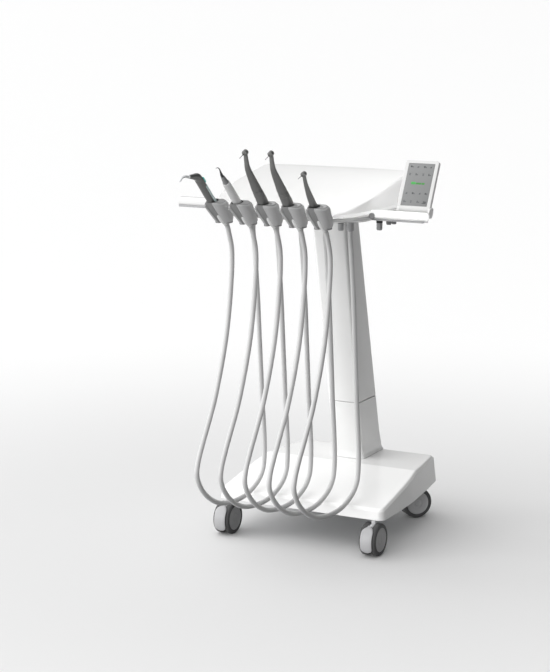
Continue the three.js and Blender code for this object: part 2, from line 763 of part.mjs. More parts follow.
piece(
  "rail_cap",
  turned([[0, 0], [CAP_RADIUS, 0], [CAP_RADIUS, CAP_THICKNESS - 1], [CAP_RADIUS - 1, CAP_THICKNESS], [0, CAP_THICKNESS]], 16)
    .rotateX(Math.PI)
    .translate(RAIL_START_X + CAP_RADIUS, RAIL_Y - RAIL_RADIUS - GAP, RAIL_Z - 2),
  "grey",
);

// Display: a touch panel between the cheeks of a bracket on the shelf, tilting on a cross pin
const bracketRight = WING_REACH - 1;
const bracketLeft = bracketRight - DISPLAY_WIDTH - 2 * HINGE_CHEEK - 2 * RUN;
const displayMiddle = (bracketLeft + bracketRight) / 2;
const bracketLow = SHELF_TOP_Z + GAP;

function cheek(from) {
  const outline = new THREE.Shape();
  outline.moveTo(HINGE_CHEEK_RADIUS, bracketLow - HINGE_Z);
  outline.lineTo(HINGE_CHEEK_RADIUS, 0);
  outline.absarc(0, 0, HINGE_CHEEK_RADIUS, 0, Math.PI, false);
  outline.lineTo(-HINGE_CHEEK_RADIUS, bracketLow - HINGE_Z);
  return sideways(outline, from, from + HINGE_CHEEK, 10).translate(0, HINGE_Y, HINGE_Z);
}

const sill = HINGE_Z - HINGE_KNUCKLE_RADIUS - RUN - bracketLow;
piece(
  "display_bracket",
  join(
    cheek(bracketLeft),
    cheek(bracketRight - HINGE_CHEEK),
    box(bracketRight - bracketLeft - 2, 2 * HINGE_CHEEK_RADIUS, sill, displayMiddle, HINGE_Y, bracketLow),
    crossways(HINGE_PIN_RADIUS, bracketLeft + 1, bracketRight - 1, HINGE_Y, HINGE_Z, 16),
  ),
  "white",
);

const panel = group(unit, displayMiddle, HINGE_Y, HINGE_Z, [-DISPLAY_TILT, 0, 0]);
const panelFront = -DISPLAY_THICKNESS / 2 - 1;

// A round-cornered slab facing forward, from its lower edge up, in the panel's own frame
function slab(width, height, corner, front, thickness, low) {
  const outline = roundedRect(width, height, corner);
  const made = new THREE.ExtrudeGeometry(outline, {
    depth: thickness - 2,
    bevelThickness: 1,
    bevelSize: 1,
    bevelOffset: -1,
    bevelSegments: 1,
  });
  return made.rotateX(Math.PI / 2).translate(0, front + thickness - 1, low + height / 2);
}

const screenWidth = DISPLAY_WIDTH - 2 * DISPLAY_BEZEL;
const screenHeight = DISPLAY_HEIGHT - 2 * DISPLAY_BEZEL - 4;
const screenLow = DISPLAY_BEZEL + 6;
piece(
  "display_housing",
  cut(
    join(
      slab(DISPLAY_WIDTH, DISPLAY_HEIGHT, DISPLAY_CORNER, panelFront, DISPLAY_THICKNESS, 4),
      crossways(HINGE_KNUCKLE_RADIUS, -DISPLAY_WIDTH / 2, DISPLAY_WIDTH / 2, 0, 0, 20),
    ),
    box(screenWidth + 2 * GAP, 2 * SCREEN_DEPTH, screenHeight + 2 * GAP, 0, panelFront, screenLow - GAP),
    crossways(HINGE_PIN_RADIUS + RUN / 2, -DISPLAY_WIDTH, DISPLAY_WIDTH, 0, 0, 16),
  ),
  "white",
  panel,
);
piece(
  "display_screen",
  box(screenWidth, SCREEN_DEPTH, screenHeight, 0, panelFront + SCREEN_DEPTH / 2 - GAP, screenLow),
  "screen",
  panel,
);

// Couplings for the supply lines and two small regulator knobs, under the pan and the shelf
COUPLING_SPOTS.forEach(([x, y], i) => {
  const reach = COUPLING_LENGTH + COUPLING_COLLAR_LENGTH;
  const profile = [
    [0, 0],
    [COUPLING_RADIUS - 1, 0],
    [COUPLING_RADIUS, 1],
    [COUPLING_RADIUS, COUPLING_LENGTH],
    [COUPLING_COLLAR_RADIUS, COUPLING_LENGTH],
    [COUPLING_COLLAR_RADIUS, reach],
    [0, reach],
  ];
  const low = PAN_UNDERSIDE_Z - GAP - reach;
  piece(`supply_coupling_${i + 1}`, turned(profile, 14).rotateX(Math.PI / 2).translate(x, y, low), "grey");
});

KNOB_SPOTS.forEach(([x, y], i) => {
  const knob = new THREE.Shape();
  const lobes = 8;
  for (let k = 0; k < lobes * 2; k++) {
    const turn = (k / lobes) * Math.PI;
    const radius = KNOB_RADIUS - (k % 2) * KNOB_GROOVE;
    knob[k ? "lineTo" : "moveTo"](radius * Math.cos(turn), radius * Math.sin(turn));
  }
  const high = SHELF_UNDERSIDE_Z - GAP;
  piece(`regulator_knob_${i + 1}`, plate(knob, high - KNOB_LENGTH, high).translate(x, y, 0), "grey");
});

// Instruments and their holders
// In a station's own frame Y runs up along the instrument, Z runs down and forward, X to the right
const tailProfile = [
  [0, 0],
  [TAIL_FOOT_RADIUS, 0],
  [TAIL_FOOT_RADIUS, HOLDER_START],
  [TAIL_TOP_RADIUS, HOLDER_START + HOLDER_LENGTH + 0.5],
];
const tailEnd = HOLDER_START + HOLDER_LENGTH;

function station(tilt, index) {
  const x = (index - (HOLDER_COUNT - 1) / 2) * HOLDER_PITCH;
  return group(unit, x, HOSE_EXIT_Y, HOSE_EXIT_Z, [90 + tilt, 0, 0]);
}

// A level section of a holder at a height above the hose's exit, moved forward with the leaning seat
function holderRing(tilt, height, half, front, back) {
  const middle = -height * Math.tan(radians(tilt));
  const corner = Math.min(HOLDER_CORNER, half - 1, front - 1);
  const backCorner = Math.min(half, back) * 0.55;
  const outline = [
    ...arc(half - corner, corner - front, corner, -90, 0, 4),
    ...arc(half - backCorner, back - backCorner, backCorner, 0, 90, 3),
  ];
  const share = THREE.MathUtils.clamp((height - HOLDER_TOP_START) / (HOLDER_HEIGHT - HOLDER_TOP_START), 0, 1);
  return mirrored(outline.map(([x, y]) => new THREE.Vector3(x, y, height))).map((point) => {
    const drop = point.x < 0 ? HOLDER_LEFT_DROP * THREE.MathUtils.clamp(-point.y / front, 0, 1) : 0;
    return new THREE.Vector3(point.x, point.y + middle, height + share * (HOLDER_TOP_SLOPE * point.y - drop));
  });
}

// The seat follows the instrument's tail and opens forward through a slot narrower than the tail
function seatRing(y, radius) {
  const slotAngle = THREE.MathUtils.radToDeg(Math.acos(HOLDER_SLOT));
  const outline = [
    [radius * HOLDER_SLOT, -4 * radius],
    ...arc(0, 0, radius, -slotAngle, 90, 7).slice(0, -1),
    [0.01, radius],
  ];
  return mirrored(outline.map(([x, z]) => new THREE.Vector3(x, y, -z)));
}

function holder(tilt) {
  const low = LUG_UNDERSIDE_Z - HOSE_EXIT_Z;
  const shell = loft([
    holderRing(tilt, low, HOLDER_FOOT_HALF, HOLDER_FOOT_FRONT, HOLDER_FOOT_BACK),
    holderRing(tilt, low + 2.5, HOLDER_FOOT_HALF + 2, HOLDER_FOOT_FRONT + 1.5, HOLDER_FOOT_BACK + 1),
    holderRing(tilt, low + 12, HOLDER_HALF - 1.5, HOLDER_FRONT - 3.5, HOLDER_BACK - 4),
    holderRing(tilt, low + 28, HOLDER_HALF + 1, HOLDER_FRONT - 1.5, HOLDER_BACK - 0.5),
    holderRing(tilt, HOLDER_HEIGHT - 4, HOLDER_HALF + 0.6, HOLDER_FRONT, HOLDER_BACK + 1),
    holderRing(tilt, HOLDER_HEIGHT - 1, HOLDER_HALF - 0.4, HOLDER_FRONT - 0.8, HOLDER_BACK),
    holderRing(tilt, HOLDER_HEIGHT, HOLDER_HALF - 1.6, HOLDER_FRONT - 2, HOLDER_BACK - 1.2),
  ]);
  const lugOutline = roundedRect(LUG_DEPTH, PAN_TOP_Z - LUG_UNDERSIDE_Z, LUG_CORNER, 2);
  const lug = sideways(lugOutline, -LUG_WIDTH / 2, LUG_WIDTH / 2);
  lug.translate(0, PAN_FRONT_Y - GAP - LUG_DEPTH / 2 - HOSE_EXIT_Y, (PAN_TOP_Z + LUG_UNDERSIDE_Z) / 2 - HOSE_EXIT_Z);
  const footSeat = (TAIL_FOOT_RADIUS + GAP) * FACET_ALLOWANCE;
  const topSeat = (TAIL_TOP_RADIUS + GAP) * FACET_ALLOWANCE;
  const seat = loft([
    seatRing(HOLDER_START - 14, footSeat),
    seatRing(HOLDER_START, footSeat),
    seatRing(tailEnd, topSeat),
    seatRing(tailEnd + 10, topSeat + HOLDER_FLARE),
    seatRing(tailEnd + HOLDER_FRONT * 2, topSeat + HOLDER_FLARE),
  ]);
  return cut(turnedBack(join(shell, lug), tilt), seat);
}

// From upright, about the hose's exit, to a station's own frame
function turnedBack(geometry, tilt) {
  return geometry.rotateX(-radians(90 + tilt));
}

// The body of an instrument, from its tail up, as [radius, height] pairs
function instrument(profile, sides = 16) {
  return turned([...tailProfile, ...profile], sides);
}

function spindle(y, z, direction) {
  return new THREE.Matrix4()
    .makeRotationX(Math.atan2(direction[1], direction[0]))
    .setPosition(0, y, z);
}

const stations = INSTRUMENT_TILTS.map(station);
stations.forEach((at, i) => piece(`holder_${i + 1}`, holder(INSTRUMENT_TILTS[i]), "holder", at));

// Syringe: an elbowed body with two thumb buttons behind its head and a bent nozzle
const SYRINGE_RADIUS = 9.2;
const SYRINGE_SET = 3.5; // how far its body is set forward of its tail
const SYRINGE_TOP = 169;
const SYRINGE_HEAD = [162, 3];
const NOZZLE_START = [195, 25.5];
const BUTTON_LENGTH = 17;
const BUTTON_WIDTH = 5.6;
const BUTTON_MIDDLE = 147;
const BUTTON_TRAVEL = 1.5;
const BUTTON_PROUD = 2;
const buttonTop = SYRINGE_SET - SYRINGE_RADIUS - BUTTON_PROUD;
const buttonBase = SYRINGE_SET - SYRINGE_RADIUS + 3.5;

function buttonSlab(width, length, from, to, middle) {
  return plate(roundedRect(width, length, width / 2 - 0.2, 2), from, to).translate(0, middle, 0);
}

const syringeTail = instrument([[0, tailEnd + 0.5]]);
const syringeStem = taperedRod(
  [
    [tailEnd - 8, 0.2, TAIL_TOP_RADIUS - 1.2],
    [tailEnd + 4, 0.8, TAIL_TOP_RADIUS - 0.8],
    [tailEnd + 18, SYRINGE_SET - 1, SYRINGE_RADIUS + 0.4],
    [tailEnd + 34, SYRINGE_SET, SYRINGE_RADIUS],
    [SYRINGE_TOP - 22, SYRINGE_SET, SYRINGE_RADIUS],
    [SYRINGE_TOP - 7, SYRINGE_SET, SYRINGE_RADIUS - 0.4],
    [SYRINGE_TOP, SYRINGE_SET + 0.5, SYRINGE_RADIUS - 4.5],
  ],
  16,
  12,
);
const syringeHead = taperedRod([
  [SYRINGE_HEAD[0] - 12, SYRINGE_SET - 1, 7],
  [SYRINGE_HEAD[0] + 2, SYRINGE_HEAD[1] + 1, 8.6],
  [(SYRINGE_HEAD[0] + NOZZLE_START[0]) / 2, (SYRINGE_HEAD[1] + NOZZLE_START[1]) / 2, 6.2],
  [NOZZLE_START[0], NOZZLE_START[1], 3.9],
]);
const buttonSpots = [-1, 1].map((side) => side * (BUTTON_WIDTH / 2 + 0.6));
const pockets = buttonSpots.map((x) =>
  buttonSlab(BUTTON_WIDTH + 2 * GAP, BUTTON_LENGTH + 2 * GAP, -20, buttonBase + BUTTON_TRAVEL + GAP, BUTTON_MIDDLE)
    .translate(x, 0, 0),
);
piece("syringe_body", cut(join(syringeTail, syringeStem, syringeHead), ...pockets), "darkMetal", stations[0]);
["left", "right"].forEach((side, i) => {
  const button = buttonSlab(BUTTON_WIDTH, BUTTON_LENGTH, buttonTop, buttonBase, BUTTON_MIDDLE);
  piece(`syringe_button_${side}`, button.translate(buttonSpots[i], 0, 0), "teal", stations[0]);
});

const nozzleAlong = new THREE.Vector2(NOZZLE_START[0] - SYRINGE_HEAD[0], NOZZLE_START[1] - SYRINGE_HEAD[1]).normalize();
const nozzlePoint = (distance, drop = 0) => [
  NOZZLE_START[0] + nozzleAlong.x * distance - drop * nozzleAlong.y,
  NOZZLE_START[1] + nozzleAlong.y * distance + drop * nozzleAlong.x,
];
piece(
  "syringe_nozzle",
  taperedRod(
    [
      [...nozzlePoint(GAP), 3.4],
      [...nozzlePoint(6), 2.6],
      [...nozzlePoint(14), 2.4],
      [...nozzlePoint(23, 1.5), 2.2],
      [...nozzlePoint(31, 6), 1.9],
      [...nozzlePoint(37, 14), 1.7],
    ],
    8,
    9,
  ),
  "clear",
  stations[0],
);

// Scaler: a pale sleeve with a grey nose and a hooked tip screwed into it
const SCALER_NOSE = 170;
piece(
  "scaler_body",
  instrument([
    [9.4, tailEnd + 4],
    [9.4, 90],
    [8.5, 148],
    [6.6, 150],
    [4.2, SCALER_NOSE],
    [0, SCALER_NOSE],
  ]),
  "paleGrey",
  stations[1],
);
piece(
  "scaler_tip",
  taperedRod(
    [
      [SCALER_NOSE + RUN, 0, 3.8],
      [SCALER_NOSE + 4, 0, 3.3],
      [182, -1.5, 2],
      [191, -3, 1.2],
      [199, -0.5, 0.9],
      [205, 6, 0.5],
    ],
    8,
    8,
  ),
  "steel",
  stations[1],
);

// A head across the end of a neck, with a blind bore for the bur's shank
const HEAD_RADIUS = 6.2;
const HEAD_BACK = 5;
const HEAD_FRONT = 8;
const BUR_RADIUS = 0.8;
const BUR_SEAT = 3; // how deep the shank sits in the head
const BUR_LENGTH = 23;

function head(y, z, direction, radius) {
  const turn = spindle(y, z, direction);
  const drum = turned(
    [
      [0, -HEAD_BACK],
      [radius - 1.5, -HEAD_BACK],
      [radius, -HEAD_BACK + 1.5],
      [radius, HEAD_FRONT - 3],
      [radius - 2, HEAD_FRONT],
      [0, HEAD_FRONT],
    ],
    14,
  );
  const shank = turned([[0, HEAD_FRONT - BUR_SEAT], [BUR_RADIUS + 0.4, HEAD_FRONT - BUR_SEAT], [BUR_RADIUS + 0.4, 20], [0, 20]], 8);
  return [drum.applyMatrix4(turn), shank.applyMatrix4(turn)];
}

function bur(y, z, direction) {
  const low = HEAD_FRONT - BUR_SEAT + GAP;
  const profile = [
    [0, low],
    [BUR_RADIUS, low],
    [BUR_RADIUS, low + BUR_LENGTH - 7],
    [0.5, low + BUR_LENGTH - 5],
    [0.9, low + BUR_LENGTH - 2],
    [0.5, low + BUR_LENGTH],
    [0, low + BUR_LENGTH],
  ];
  return turned(profile, 6).applyMatrix4(spindle(y, z, direction));
}

// Contra-angles: an electric motor with an angled attachment that turns freely on it
const MOTOR_END = 118;
const MOTOR_RADIUS = 11.9;
const CONTRA_BEND = 185;
const CONTRA_HEAD = [217, -19.5];
const CONTRA_BUR = [0.34, 0.94];
["a", "b"].forEach((letter, i) => {
  const at = stations[2 + i];
  piece(
    `motor_${letter}`,
    instrument([
      [MOTOR_RADIUS, tailEnd + 8],
      [MOTOR_RADIUS, tailEnd + 30],
      [MOTOR_RADIUS - 0.9, MOTOR_END - 3],
      [MOTOR_RADIUS - 1.9, MOTOR_END],
      [0, MOTOR_END],
    ]),
    "darkMetal",
    at,
  );
  const neck = taperedRod(
    [
      [MOTOR_END + GAP, 0, 10.4],
      [MOTOR_END + 8, 0, 10.4],
      [MOTOR_END + 22, -0.5, 9.4],
      [CONTRA_BEND - 18, -1.5, 7.6],
      [CONTRA_BEND, -3.5, 6.2],
      [CONTRA_BEND + 15, -10, 5],
      [CONTRA_HEAD[0], CONTRA_HEAD[1], 4.4],
    ],
    12,
    10,
  );
  const [drum, shank] = head(...CONTRA_HEAD, CONTRA_BUR, HEAD_RADIUS);
  piece(`contra_angle_${letter}`, cut(join(neck, drum), shank), "darkMetal", at);
  piece(`contra_bur_${letter}`, bur(...CONTRA_HEAD, CONTRA_BUR), "steel", at);
});

// Turbine: a slim curved handpiece
const TURBINE_HEAD = [164, -11];
const TURBINE_BUR = [0.42, 0.91];
const turbineTail = instrument([
  [8.5, tailEnd + 2],
  [0, tailEnd + 2],
]);
const turbineNeck = taperedRod(
  [
    [tailEnd - 10, 1, 8.4],
    [tailEnd + 4, 1.5, 8.5],
    [86, 1.8, 7.9],
    [108, 1, 6.8],
    [128, -1, 5.4],
    [146, -4.5, 4.3],
    [TURBINE_HEAD[0], TURBINE_HEAD[1], 3.9],
  ],
  10,
  10,
);
const [turbineDrum, turbineShank] = head(...TURBINE_HEAD, TURBINE_BUR, HEAD_RADIUS - 0.4);
piece("turbine", cut(join(turbineTail, turbineNeck, turbineDrum), turbineShank), "darkMetal", stations[4]);
piece("turbine_bur", bur(...TURBINE_HEAD, TURBINE_BUR), "steel", stations[4]);

// Hoses: each hangs in its own upright plane, from the instrument's tail round to a socket under the pan
const hoseCircle = new THREE.Shape(
  Array.from({ length: HOSE_SIDES }, (_, i) => {
    const turn = ((i + 0.5) / HOSE_SIDES) * 2 * Math.PI;
    return new THREE.Vector2(HOSE_RADIUS * Math.cos(turn), HOSE_RADIUS * Math.sin(turn));
  }),
);
stations.forEach((at, i) => {
  const x = at.position.x;
  const reach = (HOLDER_COUNT - 1) / 2 - i;
  const alongY = -Math.sin(radians(INSTRUMENT_TILTS[i]));
  const alongZ = Math.cos(radians(INSTRUMENT_TILTS[i]));
  const route = [
    [HOSE_EXIT_Y - alongY * GAP, HOSE_EXIT_Z - alongZ * GAP],
    [HOSE_EXIT_Y - alongY * 10, HOSE_EXIT_Z - alongZ * 10],
    ...HOSE_ROUTE.map(([y, z]) => [y + (y < HOSE_EXIT_Y ? reach * HOSE_REACH_STEP * forwardShare(y) : 0), z]),
    [SOCKET_Y, SOCKET_LOW_Z - 14],
    [SOCKET_Y, SOCKET_LOW_Z - GAP],
  ];
  const path = new THREE.CatmullRomCurve3(route.map(([y, z]) => new THREE.Vector3(x, y, z)), false, "centripetal");
  const settings = { steps: HOSE_STEPS, extrudePath: path, bevelEnabled: false };
  soft.push(piece(`hose_${i + 1}`, new THREE.ExtrudeGeometry(hoseCircle, settings), "hose"));
  console.log(`hose_${i + 1} length ${path.getLength().toFixed(0)} mm`);
  const socket = turned(
    [
      [0, 0],
      [SOCKET_RADIUS - 1, 0],
      [SOCKET_RADIUS, 1.5],
      [SOCKET_RADIUS, PAN_UNDERSIDE_Z - GAP - SOCKET_LOW_Z],
      [0, PAN_UNDERSIDE_Z - GAP - SOCKET_LOW_Z],
    ],
    12,
  );
  piece(`hose_socket_${i + 1}`, socket.rotateX(Math.PI / 2).translate(x, SOCKET_Y, SOCKET_LOW_Z), "paleGrey");
});

// How much of the reach applies: none at the exit, all at the front of the loop
function forwardShare(y) {
  return Math.min((HOSE_EXIT_Y - y) / 140, 1);
}

// The origin is the bottom centre of the unit's box, hoses left out
soft.forEach((hose) => unit.remove(hose));
const bounds = new THREE.Box3().setFromObject(unit, true);
soft.forEach((hose) => unit.add(hose));
const centre = bounds.getCenter(new THREE.Vector3());
unit.position.set(-centre.x, -centre.y, -bounds.min.z);
console.log(`moved by ${-centre.x.toFixed(3)}, ${-centre.y.toFixed(3)}, ${-bounds.min.z.toFixed(3)}`);
unit.updateMatrixWorld(true);

const root = new THREE.Group();
root.add(unit);
export default root;
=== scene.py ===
# %% [markdown]
# # A wheeled dental delivery unit
# The CAD gives every piece its place. This lesson gives the unit its looks: finer surfaces worked out with numpy,
# moulded and metal finishes made of shader nodes, hoses that hang, and a pale studio.
# All shapes are written in millimetres in the frame that the CAD was drawn in: X to the user's right, Y to the back
# with 0 at the base's front face, and Z up from the floor.

import json
import math

import bmesh
import bpy
import numpy as np
from mathutils import Matrix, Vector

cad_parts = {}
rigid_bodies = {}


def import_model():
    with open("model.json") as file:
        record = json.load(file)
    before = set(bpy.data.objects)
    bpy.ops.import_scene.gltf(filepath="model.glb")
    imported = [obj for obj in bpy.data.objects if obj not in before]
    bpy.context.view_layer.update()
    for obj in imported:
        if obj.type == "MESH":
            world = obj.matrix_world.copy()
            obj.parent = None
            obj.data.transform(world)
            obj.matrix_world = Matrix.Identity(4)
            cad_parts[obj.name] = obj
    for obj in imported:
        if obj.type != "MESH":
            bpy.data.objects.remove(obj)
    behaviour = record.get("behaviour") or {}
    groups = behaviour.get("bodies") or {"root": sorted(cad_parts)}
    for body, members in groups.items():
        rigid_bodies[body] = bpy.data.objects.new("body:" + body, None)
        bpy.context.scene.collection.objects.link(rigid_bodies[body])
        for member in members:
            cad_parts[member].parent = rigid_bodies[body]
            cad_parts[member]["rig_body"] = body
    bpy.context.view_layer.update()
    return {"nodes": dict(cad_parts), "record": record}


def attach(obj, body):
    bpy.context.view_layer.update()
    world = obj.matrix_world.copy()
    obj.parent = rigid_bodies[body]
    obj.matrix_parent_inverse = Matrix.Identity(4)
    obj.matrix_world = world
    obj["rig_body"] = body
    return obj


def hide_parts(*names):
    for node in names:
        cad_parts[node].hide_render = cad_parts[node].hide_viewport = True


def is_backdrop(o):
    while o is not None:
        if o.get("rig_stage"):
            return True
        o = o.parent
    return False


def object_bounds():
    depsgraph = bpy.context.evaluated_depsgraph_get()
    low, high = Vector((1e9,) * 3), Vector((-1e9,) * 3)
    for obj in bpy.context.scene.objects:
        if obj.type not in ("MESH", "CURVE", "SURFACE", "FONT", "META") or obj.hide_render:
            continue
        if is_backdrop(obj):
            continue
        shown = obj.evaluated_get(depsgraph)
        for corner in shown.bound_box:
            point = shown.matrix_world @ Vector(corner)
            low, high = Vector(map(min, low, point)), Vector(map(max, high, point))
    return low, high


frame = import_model()

# %% [markdown]
# The CAD moved the drawing so that its origin is the bottom centre of the unit's box. The same step back is taken
# here once, when a shape's points become a mesh in metres, so that every size below reads as a real size.

# %% From drawing millimetres to scene metres
MM = 0.001
FRONT_LINE = 36.552  # the drawing's Y = 0 lies this far in front of the part's origin


def to_scene(points):
    """Drawing point to scene point: take the front line's offset from Y, then divide by 1000."""
    return (np.asarray(points, float) - (0, FRONT_LINE, 0)) * MM


print("front face of the base at Y =", to_scene((0, 0, 0))[1], "m")

# %% [markdown]
# The photograph looks down a little, from the unit's right. A long lens keeps the uprights nearly parallel. The
# camera's place was found by matching the floor points of the casters, the column and the display with their
# places in the picture.

# %% Camera
CAMERA_AT = (1913.9, -3743.0, 1286.7)
CAMERA_BACK = (0.45892, -0.86878, 0.18603)  # from what it looks at back to the camera
LENS_MM, SENSOR_MM = 100.575, 36  # the sensor's long side is the picture's height
SIGHT_END = 1000  # metres, so that the floor's far edge is still seen


def add_object(name, data):
    """A new object in the scene that shows the data."""
    made = bpy.data.objects.new(name, data)
    bpy.context.scene.collection.objects.link(made)
    return made


def face_along(thing, place, back):
    """Stands a camera or a lamp at a place in metres. Its columns are side = up x back, back x side, and back,
    because both look along their own -Z."""
    back = np.array(back, float)
    back /= np.linalg.norm(back)
    side = np.cross((0, 0, 1), back)
    side /= np.linalg.norm(side)
    turn = Matrix(np.column_stack([side, np.cross(back, side), back]).tolist()).to_4x4()
    thing.matrix_world = Matrix.Translation(place) @ turn


camera = add_object("camera", bpy.data.cameras.new("camera"))
face_along(camera, to_scene(CAMERA_AT), CAMERA_BACK)
camera.data.sensor_fit = "AUTO"
camera.data.sensor_width, camera.data.lens, camera.data.clip_end = SENSOR_MM, LENS_MM, SIGHT_END
bpy.context.scene.camera = camera
print("camera stands", round(float(np.linalg.norm(to_scene(CAMERA_AT))), 2), "m from the origin")

# %% [markdown]
# Nearly every piece here is a grid of points: rows of rings, joined into quads. Working a grid out as one array
# keeps the formula in sight. The helper below closes the ends, turns the faces outwards and shades the soft
# bends smooth while it leaves real edges crisp.

# %% Meshes from grids
SHARP, CRISP = math.radians(38), math.radians(30)


def grid_faces(rows, columns, start):
    """Quads of a grid whose columns run round and close: (r, c), (r, c+1), (r+1, c+1), (r+1, c)."""
    r, c = np.meshgrid(np.arange(rows - 1), np.arange(columns), indexing="ij")
    a, b = r * columns + c, r * columns + (c + 1) % columns
    return (start + np.stack([a, b, b + columns, a + columns], -1).reshape(-1, 4)).tolist()


def ladder(columns, start):
    """Bands across a mirrored ring: point i faces point columns - 1 - i."""
    i = np.arange(columns // 2 - 1)
    return (start + np.stack([i, i + 1, columns - 2 - i, columns - 1 - i], -1)).tolist()


def flat(*grids):
    """Sheets whose two ends are closed by one face each."""
    return [(grid, "flat") for grid in grids]


def skin(name, sheets, body, sharp=SHARP):
    """One piece on its body from a list of (rings, end): rings is an array of rows x columns x 3, and end says how
    its two ends are closed: "flat" by one face each, "ladder" by bands across, or "loop" where the last row meets
    the first. Bends of less than sharp are shaded smooth."""
    points, faces = [], []
    for rings, end in sheets:
        rings = np.asarray(rings, float)
        rows, columns = rings.shape[:2]
        start = sum(len(p) for p in points)
        points.append(rings.reshape(-1, 3))
        faces += grid_faces(rows, columns, start)
        last = start + (rows - 1) * columns
        if end == "loop":
            joint = np.arange(columns)
            following = (joint + 1) % columns
            faces += np.stack([last + joint, last + following, start + following, start + joint], -1).tolist()
        elif end == "ladder":
            faces += [f[::-1] for f in ladder(columns, start)] + ladder(columns, last)
        else:
            faces += [list(range(start, start + columns))[::-1], list(range(last, last + columns))]
    mesh = bpy.data.meshes.new(name)
    mesh.from_pydata(to_scene(np.concatenate(points)).tolist(), [], faces)
    work = bmesh.new()
    work.from_mesh(mesh)
    bmesh.ops.remove_doubles(work, verts=work.verts, dist=1e-7)
    bmesh.ops.recalc_face_normals(work, faces=work.faces)
    work.to_mesh(mesh)
    work.free()
    mesh.polygons.foreach_set("use_smooth", np.ones(len(mesh.polygons), bool))
    mesh.set_sharp_from_angle(angle=sharp)
    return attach(add_object(name, mesh), body)


# %% [markdown]
# Five silicone hoses leave the instruments' tails, hang in a long loop in front of the base, and rise from just over
# its front edge to sockets under the table. Each is a tube of one fixed length. A tube is a circle carried along a
# line, so the line comes first: a smooth curve through the points that gravity and the photograph give.

# %% The hoses' route
GAP = 0.3  # kept free between pieces that meet
HOLDERS, HOLDER_PITCH = range(5), 61.5
TILTS = (46, 46, 42.5, 42.5, 41.5)  # of the instruments, in degrees forward from upright
EXIT_Y, EXIT_Z = -122, 756
SOCKET_Y, SOCKET_LOW = 6, 738
HOSE_RADIUS = 5.6
SPAN_POINTS = 24  # points worked out between two knots, before they are spread evenly
HOSE_STEP, STEP_DEPTH = 2, 140  # a hose reaches 2 mm further than its left neighbour, from 140 mm ahead of the exit
HOSE_MIDDLE = [
    (-106, 729), (-96, 700), (-94, 664), (-99, 615), (-107, 565), (-118, 515), (-134, 465), (-155, 413),
    (-182, 357), (-212, 309), (-238, 269), (-256, 236), (-262, 211), (-253, 188), (-230, 161), (-196, 137),
    (-158, 120), (-116, 111), (-72, 107), (-30, 109), (6, 118), (36, 133), (53, 153), (59, 178), (60, 215),
    (56, 262), (48, 330), (42, 400), (35, 480), (28, 560), (20, 630), (12, 690),
]


def smooth_line(knots, count):
    """Centripetal Catmull-Rom: between two knots a cubic whose slopes come from the neighbours, weighed by the
    square roots of the distances between knots. Returns count points at equal steps of length."""
    knots = np.asarray(knots, float)
    knots = np.vstack([2 * knots[0] - knots[1], knots, 2 * knots[-1] - knots[-2]])
    step = np.sqrt(np.linalg.norm(np.diff(knots, axis=0), axis=1))
    p0, p1, p2, p3 = knots[:-3], knots[1:-2], knots[2:-1], knots[3:]
    d0, d1, d2 = (step[i : len(step) - 2 + i, None] for i in range(3))
    slope1 = ((p1 - p0) / d0 - (p2 - p0) / (d0 + d1) + (p2 - p1) / d1) * d1
    slope2 = ((p2 - p1) / d1 - (p3 - p1) / (d1 + d2) + (p3 - p2) / d2) * d1
    t = np.linspace(0, 1, SPAN_POINTS, endpoint=False)[:, None, None]
    cubic = (2 * t**3 - 3 * t**2 + 1) * p1 + (t**3 - 2 * t**2 + t) * slope1
    cubic += (3 * t**2 - 2 * t**3) * p2 + (t**3 - t**2) * slope2
    fine = np.vstack([cubic.transpose(1, 0, 2).reshape(-1, knots.shape[1]), knots[-2]])
    length = np.concatenate([[0], np.cumsum(np.linalg.norm(np.diff(fine, axis=0), axis=1))])
    even = np.linspace(0, length[-1], count)
    return np.stack([np.interp(even, length, fine[:, k]) for k in range(fine.shape[1])], -1)


def holder_x(i):
    """Holder i's X: the holders stand one pitch apart, and the third stands in the middle."""
    return (i - 2) * HOLDER_PITCH


def hose_line(i, count=420):
    """Hose i's line: out of the instrument along its axis, down and round the middle hose's loop, which each hose
    to the right reaches 2 mm further, and straight up into the socket."""
    tilt = math.radians(TILTS[i])
    out = np.array((math.sin(tilt), -math.cos(tilt)))
    start = np.array((EXIT_Y, EXIT_Z))
    loop = np.array(HOSE_MIDDLE, float)
    share = np.clip((EXIT_Y - loop[:, 0]) / STEP_DEPTH, 0, 1)
    loop[:, 0] += HOSE_STEP * (2 - i) * share
    ends = [(SOCKET_Y, SOCKET_LOW - 14), (SOCKET_Y, SOCKET_LOW - GAP)]
    line = smooth_line(np.vstack([start + GAP * out, start + 10 * out, loop, ends]), count)
    return np.column_stack([np.full(count, holder_x(i)), line])


def tube(line, radius, sides=24):
    """Circles across a line: centre + radius * (cos a * side + sin a * up), side and up at right angles to it."""
    line = np.asarray(line, float)
    ahead = np.gradient(line, axis=0)
    ahead /= np.linalg.norm(ahead, axis=1)[:, None]
    side = np.broadcast_to((1.0, 0, 0), line.shape)
    up = np.cross(ahead, side)
    a = np.linspace(0, 2 * math.pi, sides, endpoint=False)[None, :, None]
    radius = np.broadcast_to(radius, len(line))[:, None, None]
    return line[:, None] + radius * (np.cos(a) * side[:, None] + np.sin(a) * up[:, None])


# %% Hang the hoses
hoses = []
for i in HOLDERS:
    line = hose_line(i)
    hose = skin(f"hose_{i + 1}_tube", flat(tube(line, HOSE_RADIUS)), "unit")
    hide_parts(f"hose_{i + 1}")
    hoses.append(hose)

# %% [markdown]
# A moulded or metal surface is never one flat colour. Its colour drifts a little over a hand's width, its gloss
# changes where it was wiped, and a fine grain breaks the highlights. Three noise textures on Object coordinates
# give that at real scale, and they stay put when a body moves.

